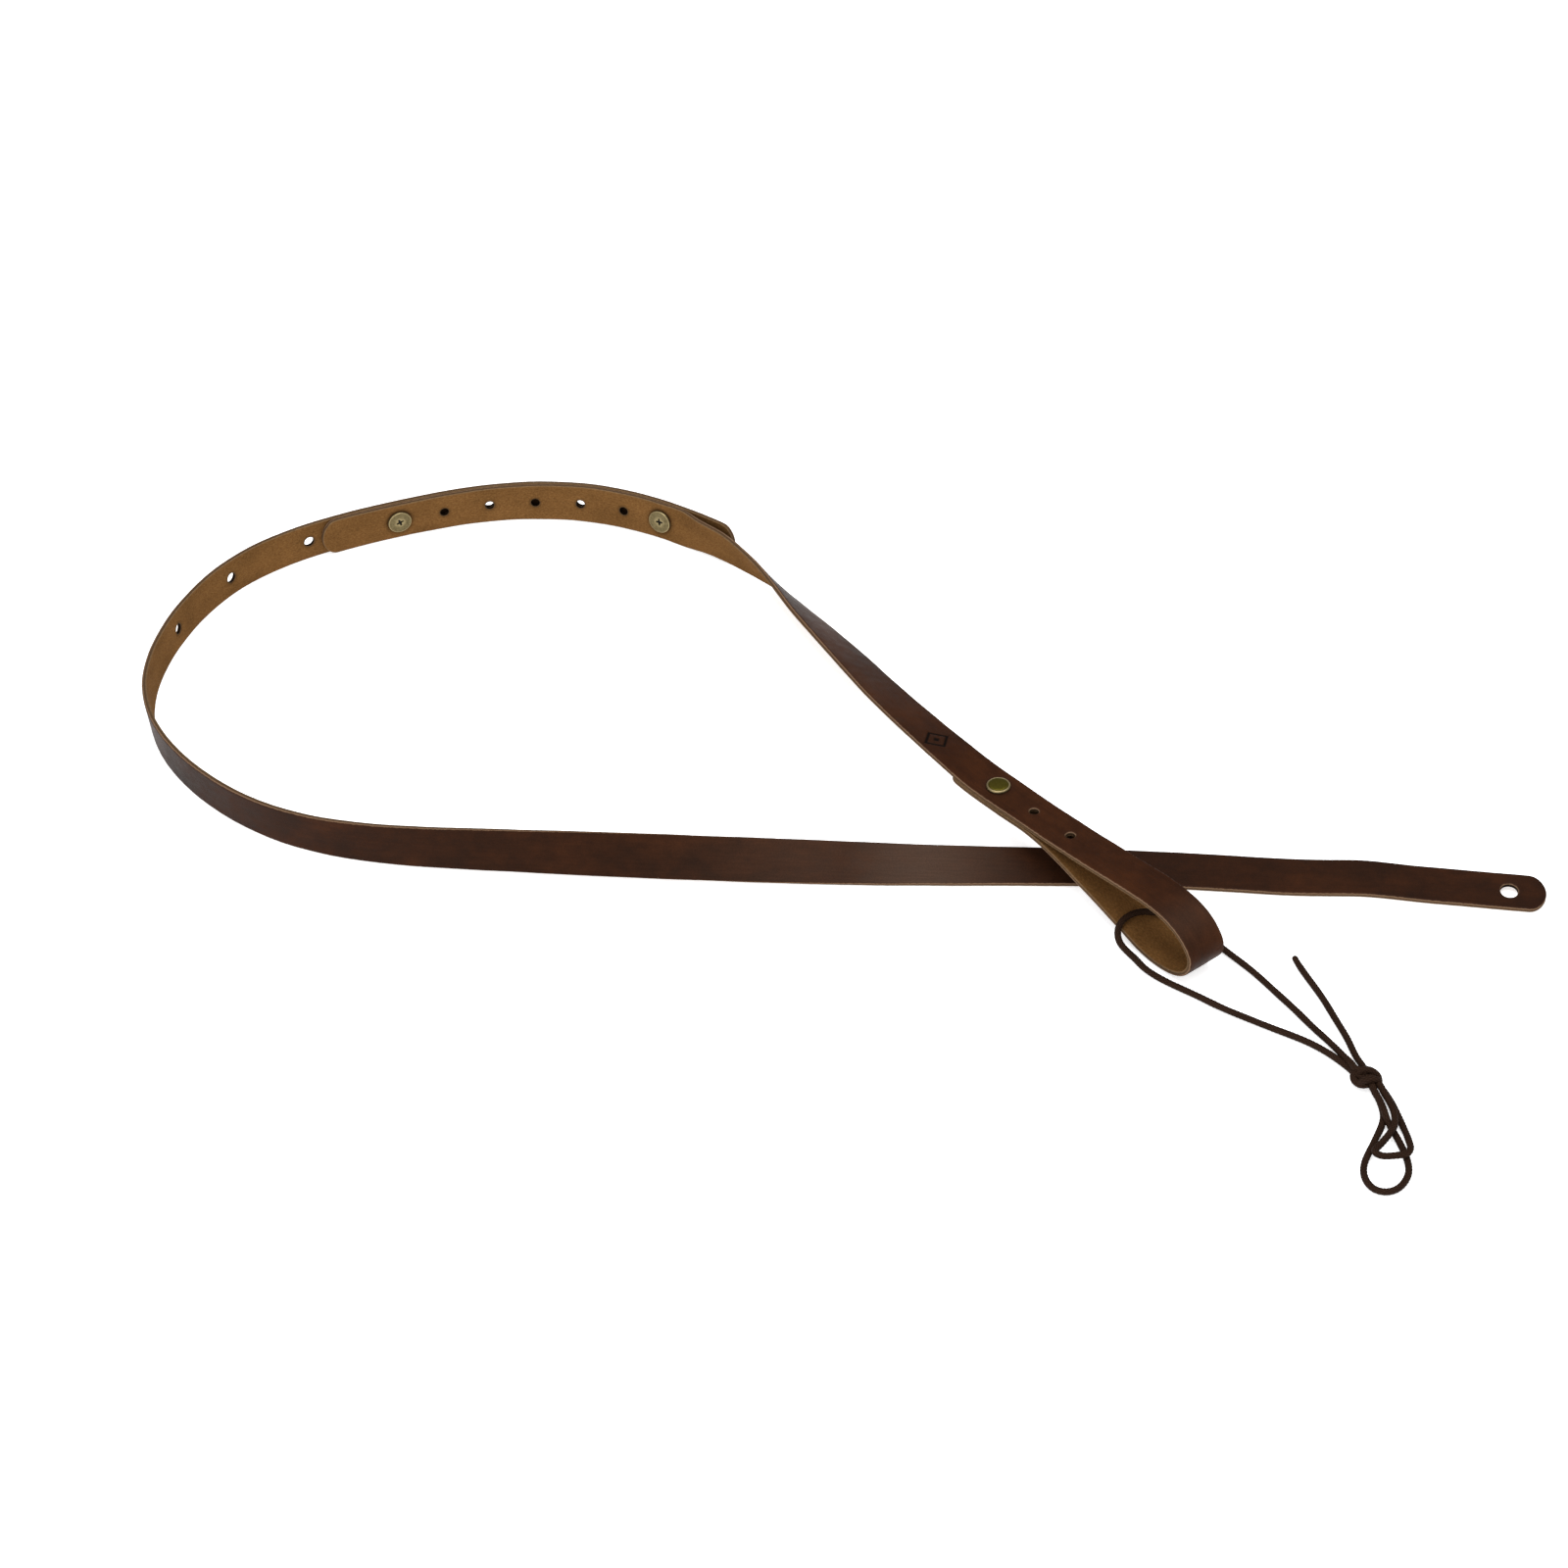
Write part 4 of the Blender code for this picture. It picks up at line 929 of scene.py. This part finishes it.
end_cut, tip_cut = LONG_LEN - END_LINK, LONG_LEN - TIP_LINK
seam = (end_cut + tip_cut) / 2
long_body = strap(
    "long_strap_leather", LONG, 0.0, seam, rounded=(True, False),
    holes=[(place, FREE_HOLE_R) for place in LONG_HOLES],
    seats=[(LONG_HOLES[0], 1), (LONG_HOLES[3], 1)], seed=3,
    # painted shadow on the flesh side where the short strap's holes lie against it
    shadow_spots=[adjuster_place(k) for k in (1, 3, 5)],
    # painted sheen at these lengths
    sheen_patches=[(LONG_LEN - 262.0, 30.0, 0.80), (LONG_LEN - 310.0, 45.0, 0.25)])
long_tip = strap(
    "long_strap_tip_leather", LONG, seam, LONG_LEN, rounded=(False, True),
    holes=[(LONG_LEN - BUTTON_FROM_TIP, BUTTON_HOLE_R)], seats=[], seed=3)
short_body = strap(
    "short_strap_leather", SHORT, 0.0, SHORT_LEN, rounded=(True, True),
    holes=[(place, SPARE_HOLE_R) for place in SHORT_HOLES]
    + [(place, LOOP_HOLE_R) for place in (*LOOP_HOLES, FOLD_HOLE)],
    seats=[(SHORT_HOLES[0], -1), (SHORT_HOLES[6], -1), (LOOP_SCREW, 1), (FOLD_HOLE, 1)], seed=8,
    stamped=True, tone=1.0,
    # painted sheen at these lengths
    sheen_patches=[(LOOP_SCREW + 116.0, 9.0, 0.25), (LOOP_SCREW - 100.0, 40.0, 0.10)],
    # painted shadow on the lower ply, under the loop holes
    shadow_spots=[FOLD_HOLE - HOLE_PITCH, FOLD_HOLE - 2 * HOLE_PITCH])


# ---- two-part screws ---------------------------------------------------------------------------
def placed(points, at, axis, spin):
    """Points stood on a place with z along an axis, turned by spin about it."""
    z = axis / np.linalg.norm(axis)
    x = np.cross((0.0, 0.0, 1.0) if abs(z[2]) < 0.9 else (1.0, 0.0, 0.0), z)
    x = x / np.linalg.norm(x)
    y = np.cross(z, x)
    x, y = (x * math.cos(spin) + y * math.sin(spin), y * math.cos(spin) - x * math.sin(spin))
    return at + points[:, :1] * x + points[:, 1:2] * y + points[:, 2:] * z


def lathe(profile):
    """Rings from (radius, height, zone) rows, top first, walls between them and a closed bottom."""
    count = LATHE_SIDES
    verts = [np.column_stack([circle(radius, count), np.full(count, z)]) for radius, z, _ in profile]
    zone = np.concatenate([np.full(count, value) for _, _, value in profile])
    faces = [(k * count + i, (k + 1) * count + i, (k + 1) * count + (i + 1) % count,
              k * count + (i + 1) % count) for k in range(len(profile) - 1) for i in range(count)]
    bottom = tuple(reversed(range((len(profile) - 1) * count, len(profile) * count)))
    return np.concatenate(verts), faces, zone, bottom


def cross_outline(arm, half_width, tip_r):
    """A four-armed recess with rounded arm ends and rounded inside corners."""
    middle = (half_width + tip_r) / 2 + 0.02
    local = [(half_width + 0.16, -half_width), (half_width + 0.5, -middle)]
    local += [(arm - tip_r + tip_r * math.cos(turn), tip_r * math.sin(turn))
              for turn in np.linspace(-math.pi / 2, math.pi / 2, 6)]
    local += [(half_width + 0.5, middle), (half_width + 0.16, half_width),
              (half_width + 0.03, half_width + 0.03)]
    points = []
    for quarter in range(4):
        cos, sin = math.cos(quarter * math.pi / 2), math.sin(quarter * math.pi / 2)
        points += [(cos * x - sin * y, sin * x + cos * y) for x, y in local]
    return np.array(points)


def brass_piece(name, verts, faces, zone, at, axis, spin, texture_shift):
    attrs = {"spot": verts + np.array(texture_shift), "zone": zone}
    return mesh_piece(name, placed(verts, at, axis, spin), faces, BRASS_MAT,
                      attrs, sharp=38)


def build_screw(name, at, axis, reach, spin):
    """Flat head with a rolled rim and a cross recess, on a plain shaft."""
    face_r = HEAD_R - 0.62
    verts, faces, zone, bottom = lathe([
        (face_r, HEAD_H, FACE), (HEAD_R - 0.42, HEAD_H + 0.02, 0.4),
        (HEAD_R - 0.20, HEAD_H - 0.05, RIM), (HEAD_R - 0.05, HEAD_H - 0.22, RIM),
        (HEAD_R, HEAD_H - 0.5, 0.8), (HEAD_R, 0.25, 0.2), (HEAD_R - 0.12, 0.0, 0.1),
        (SHAFT_R, 0.0, 0.1), (SHAFT_R, -reach + 0.4, FACE), (SHAFT_R - 0.35, -reach, FACE)])
    arms = cross_outline(arm=1.85, half_width=0.50, tip_r=0.40)
    lip = cross_outline(arm=2.02, half_width=0.60, tip_r=0.50)
    inner = np.vstack([circle(HEAD_R - inset, LATHE_SIDES) for inset in (1.5, 2.6)])
    flat, triangles = cut_flat([circle(face_r, LATHE_SIDES), lip], inner)

    # slightly dished face from the rim to the recess; its outer ring is the lathe's first ring
    base, sides = len(verts), len(lip)
    extra = flat[LATHE_SIDES:]
    dish = HEAD_H - 0.05 * (1 - (np.linalg.norm(extra, axis=1) / (HEAD_R - 0.6)) ** 2)
    verts = np.vstack([verts, np.column_stack([extra, dish])])
    zone = np.concatenate([zone, np.where(np.arange(len(extra)) < sides, 0.6, FACE)])
    faces += [tuple(i if i < LATHE_SIDES else base + i - LATHE_SIDES for i in triangle)
              for triangle in triangles]

    # recess walls and floor
    upper = base + np.arange(sides)
    for scale, drop, value in ((1.0, 0.16, 2.6), (0.93, 0.6, RECESS), (0.78, 1.05, RECESS)):
        lower = len(verts) + np.arange(sides)
        verts = np.vstack([verts, np.column_stack([arms * scale, np.full(sides, HEAD_H - drop)])])
        zone = np.concatenate([zone, np.full(sides, value)])
        faces += [(upper[i], upper[(i + 1) % sides], lower[(i + 1) % sides], lower[i])
                  for i in range(sides)]
        upper = lower
    faces += [tuple(upper[i] for i in triangle) for triangle in cut_flat([arms])[1]]
    faces.append(bottom)
    return brass_piece(name, verts, faces, zone, at, axis, spin, (spin * 9.0, spin * 5.0, 0))


def build_post(name, at, axis, reach, spin):
    """Cap with a domed disc inside a rolled bead, on a hollow barrel."""
    verts, faces, zone, bottom = lathe([
        (0.9, CAP_H + 0.10, DISC), (2.4, CAP_H + 0.07, DISC), (3.6, CAP_H + 0.01, DISC),
        (4.05, CAP_H - 0.04, DISC), (4.22, CAP_H - 0.12, DISC), (4.30, CAP_H - 0.34, 2.4),
        (4.36, CAP_H - 0.36, 1.4), (4.48, CAP_H - 0.28, RIM), (4.70, CAP_H - 0.26, RIM),
        (4.94, CAP_H - 0.36, RIM), (5.12, CAP_H - 0.58, RIM), (CAP_R, CAP_H - 0.92, 0.8),
        (CAP_R, 0.35, 0.25), (CAP_R - 0.12, 0.0, 0.1), (POST_R, 0.0, 0.1),
        (POST_R, -reach + 0.15, FACE), (POST_R - 0.15, -reach, 0.3), (POST_BORE_R, -reach, 0.3),
        (POST_BORE_R, -0.3, 2.6)])
    faces += [tuple(range(LATHE_SIDES)), bottom]
    return brass_piece(name, verts, faces, zone, at, axis, spin, (spin * 7.0 + 31, spin * 3.0, 0))


# label, band and length under the cap, the short strap's length and face height under the screw
# head, then the spins of post and screw
for label, band, top_along, under_along, under_height, post_spin, screw_spin in (
        ("left", LONG, LONG_HOLES[3], SHORT_HOLES[0], -EDGE, 0.4, 0.35),
        ("right", LONG, LONG_HOLES[0], SHORT_HOLES[6], -EDGE, 1.1, 0.12),
        ("loop", SHORT, LOOP_SCREW, FOLD_HOLE, EDGE, 2.0, 0.8)):
    top, under = band.spot(top_along, EDGE), SHORT.spot(under_along, under_height)
    axis = band.frame(np.array([top_along]))[2][0]
    grip = float((top - under) @ axis)
    middle, half_grip = (top + under) / 2, axis * (grip / 2 - SUNK)
    inner_grip = grip - 2 * SUNK
    post = build_post(f"post_{label}_brass", middle + half_grip, axis, inner_grip + 0.1, post_spin)
    screw = build_screw(f"screw_{label}_brass", middle - half_grip, -axis, inner_grip - 0.4,
                        screw_spin)
    for kind, piece in (("post", post), ("screw", screw)):
        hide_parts(f"{kind}_{label}")
        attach(piece, f"{label}_{kind}")


# ---- lace --------------------------------------------------------------------------------------
def braid_height(turn, along):
    """0 in the gaps and 1 on the crowns of a round braid; turn in radians, along in mm."""
    cell = BRAID_CELLS * turn / (2 * math.pi)
    right, left = cell + along / BRAID_PITCH, cell - along / BRAID_PITCH
    i, j = np.floor(right), np.floor(left)
    right_arch = np.abs(np.sin(math.pi * (right - i)))
    left_arch = np.abs(np.sin(math.pi * (left - j)))
    return np.where((i + j) % 2 == 0, right_arch ** 0.95 * left_arch ** 0.40,
                    right_arch ** 0.40 * left_arch ** 0.95)


def curve_through(points):
    points = np.asarray(points, float)
    knots = chords(points)
    fine = spline(knots, points, np.linspace(0, knots[-1], 3000))
    path = chords(fine)
    at = np.linspace(0, path[-1], max(4, int(path[-1] / LACE_STEP)))
    return resample(path, at, fine), at


def transport(centre):
    """Two directions square to a curve that turn with it but never roll about it."""
    ahead = unit(np.gradient(centre, axis=0))
    x = np.zeros_like(centre)
    guide = np.array([0.0, 0.0, 1.0]) if abs(ahead[0, 2]) < 0.9 else np.array([1.0, 0.0, 0.0])
    x[0] = unit(np.cross(ahead[0], guide))
    for i in range(1, len(centre)):
        x[i] = unit(x[i - 1] - (x[i - 1] @ ahead[i]) * ahead[i])
    return x, np.cross(ahead, x)


def lace(name, points, start_at, tip=False, radius=LACE_R):
    """One run of braided lace; tip rounds its first end over. start_at sets its place in the braid
    and the textures."""
    centre, at = curve_through(points)
    centre[:, 2] = np.maximum(centre[:, 2], radius + TABLE_GAP)
    x, y = transport(centre)
    turn = np.arange(LACE_SIDES) * 2 * math.pi / LACE_SIDES
    crown = braid_height(turn[None, :], at[:, None] + start_at)
    swell = 1 + 0.025 * ripple(at, 0 * at, int(start_at) + 11, scale=14.0)
    close = np.ones(len(at))
    if tip:
        part = np.clip(at / 1.25, 0, 1)
        close *= np.sqrt(np.clip(1 - (1 - part) ** 2, 0.012, 1))
        close *= 1 - 0.10 * fade(at, 2, 9)
    reach = (radius * (0.885 + 0.145 * crown) * (swell * close)[:, None])[..., None]
    verts = centre[:, None] + reach * (np.cos(turn)[None, :, None] * x[:, None]
                                       + np.sin(turn)[None, :, None] * y[:, None])
    ids = np.arange(len(centre) * LACE_SIDES).reshape(-1, LACE_SIDES)
    beside = np.roll(ids, -1, axis=1)
    faces = np.stack([ids[:-1], beside[:-1], beside[1:], ids[1:]], -1).reshape(-1, 4).tolist()
    faces += [ids[0].tolist()[::-1], ids[-1].tolist()]
    lay = np.stack([np.broadcast_to(at[:, None] + start_at, crown.shape),
                    np.broadcast_to(turn[None, :] * radius, crown.shape), 0 * crown], -1)
    return mesh_piece(name, verts.reshape(-1, 3), faces, LACE_MAT,
                      {"lay": lay.reshape(-1, 3), "crown": crown.ravel()}, sharp=70)


tether = lace("lace_tether_braid", LACE_TETHER, 0.0)
tail = lace("lace_tail_braid", LACE_TAIL, 420.0, tip=True)
ring = lace("lace_ring_braid", LACE_RING, 500.0)
triangle = lace("lace_triangle_braid", LACE_TRIANGLE, 700.0)
wraps = [lace(f"lace_wrap_{label}_braid", points, start_at, radius=LACE_R * 1.03)
         for label, points, start_at in (("left", WRAP_LEFT, 900.0), ("right", WRAP_RIGHT, 940.0),
                                         ("over", WRAP_OVER, 980.0))]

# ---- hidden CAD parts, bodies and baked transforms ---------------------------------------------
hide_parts("long_strap", "long_strap_end")
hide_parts("long_strap_tip", "long_strap_end")
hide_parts("short_strap", "short_strap_loop")
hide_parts("lace_tether")
for wrap in wraps:
    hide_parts("lace_knot")
    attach(wrap, "lace")
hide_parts("lace_tail")
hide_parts("lace_bow_ring")
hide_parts("lace_bow_triangle")
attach(tether, "lace")

# each piece's transform is baked into its mesh; its joint's name and a point further along it are
# listed beside it but not used
BOW_BENT_AT = (236.0, -208.0, 3.0)
for piece, joint_name, bent_at in (
        (long_body, "end_flex", LONG.spot(end_cut + LONG_BEND, EDGE)),
        (long_tip, "tip_flex", LONG.spot(tip_cut + LONG_BEND, EDGE)),
        (short_body, "loop_flex", SHORT.spot(LOOP_SCREW - LOOP_LINK + LOOP_BEND, EDGE)),
        (tail, "tail_flex", (225.6, -165.2, 2.2)),
        (ring, "bow_flex", BOW_BENT_AT),
        (triangle, "bow_flex", BOW_BENT_AT)):
    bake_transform(piece)


# ---- floor, light and camera, in metres --------------------------------------------------------
def build_floor():
    bpy.ops.mesh.primitive_plane_add(size=14.0, location=(0, 3.0, -0.0004))
    floor = bpy.context.object
    floor.name = "floor"
    paper = Nodes(bpy.data.materials.new("studio_paper"))
    place = paper.add("ShaderNodeTexCoord").outputs["Object"]
    mottle = paper.noise(place, scale=40.0, detail=2.0, rough=0.5)
    paper.shade({
        "Base Color": paper.ramp(mottle, [(0.0, 0.90), (1.0, 0.93)]),
        "Roughness": 0.95,
        "Specular IOR Level": 0.0,
        "Emission Color": (1.0, 1.0, 1.0, 1.0),
        "Emission Strength": 0.60,
    })
    floor.data.materials.append(paper.owner)


def build_world():
    """Bright overhead and on the viewer's side, dim behind the object, plain white to the camera."""
    sky = bpy.data.worlds.new("studio")
    bpy.context.scene.world = sky
    nodes = Nodes(sky, shader="Background")
    direction = nodes.split(nodes.add("ShaderNodeTexCoord").outputs["Generated"])
    viewer_pull = 0.75  # how far the bright side leans towards the viewer
    lean = nodes.math("SUBTRACT", direction[2], nodes.scaled(direction[1], by=viewer_pull))
    centred = nodes.math("ADD", nodes.scaled(lean, by=0.5), 0.5)
    glow = nodes.ramp(centred, [(0.36, (0.16, 0.16, 0.17)), (0.95, 1.0)])
    camera_ray = nodes.add("ShaderNodeLightPath").outputs["Is Camera Ray"]
    nodes.shade({"Color": nodes.mix(glow, (1.0, 1.0, 1.0), share=camera_ray), "Strength": 1.0})


def softbox(name, place, size, power):
    """Rectangular area light aimed at the origin."""
    light = bpy.data.lights.new(name, "AREA")
    light.shape = "RECTANGLE"
    light.size, light.size_y = size
    light.energy = power
    lamp = bpy.data.objects.new(name, light)
    bpy.context.scene.collection.objects.link(lamp)
    lamp.location = place
    lamp.rotation_mode = "QUATERNION"
    lamp.rotation_quaternion = (-Vector(place)).to_track_quat("-Z", "Y")


def build_camera():
    scene = bpy.context.scene
    pitch = math.radians(39.0)  # looking down
    distance = 1511.5           # mm
    data = bpy.data.cameras.new("camera")
    data.sensor_width = 36.0
    data.lens = 79.38
    data.clip_start, data.clip_end = 0.01, 60.0
    camera = bpy.data.objects.new("camera", data)
    scene.collection.objects.link(camera)
    camera.location = world((0.0, -distance * math.cos(pitch), distance * math.sin(pitch)))
    camera.rotation_euler = (math.pi / 2 - pitch, 0.0, 0.0)
    scene.camera = camera
    scene.view_settings.view_transform = "Standard"
    scene.view_settings.look = "None"


build_floor()
build_world()
softbox("overhead", place=(0.1, -0.15, 1.9), size=(1.6, 1.2), power=26.0)
softbox("front_left", place=(-1.3, -1.9, 1.2), size=(1.2, 1.2), power=16.0)
build_camera()

# ---- last update of the view layer -------------------------------------------------------------
bpy.context.view_layer.update()
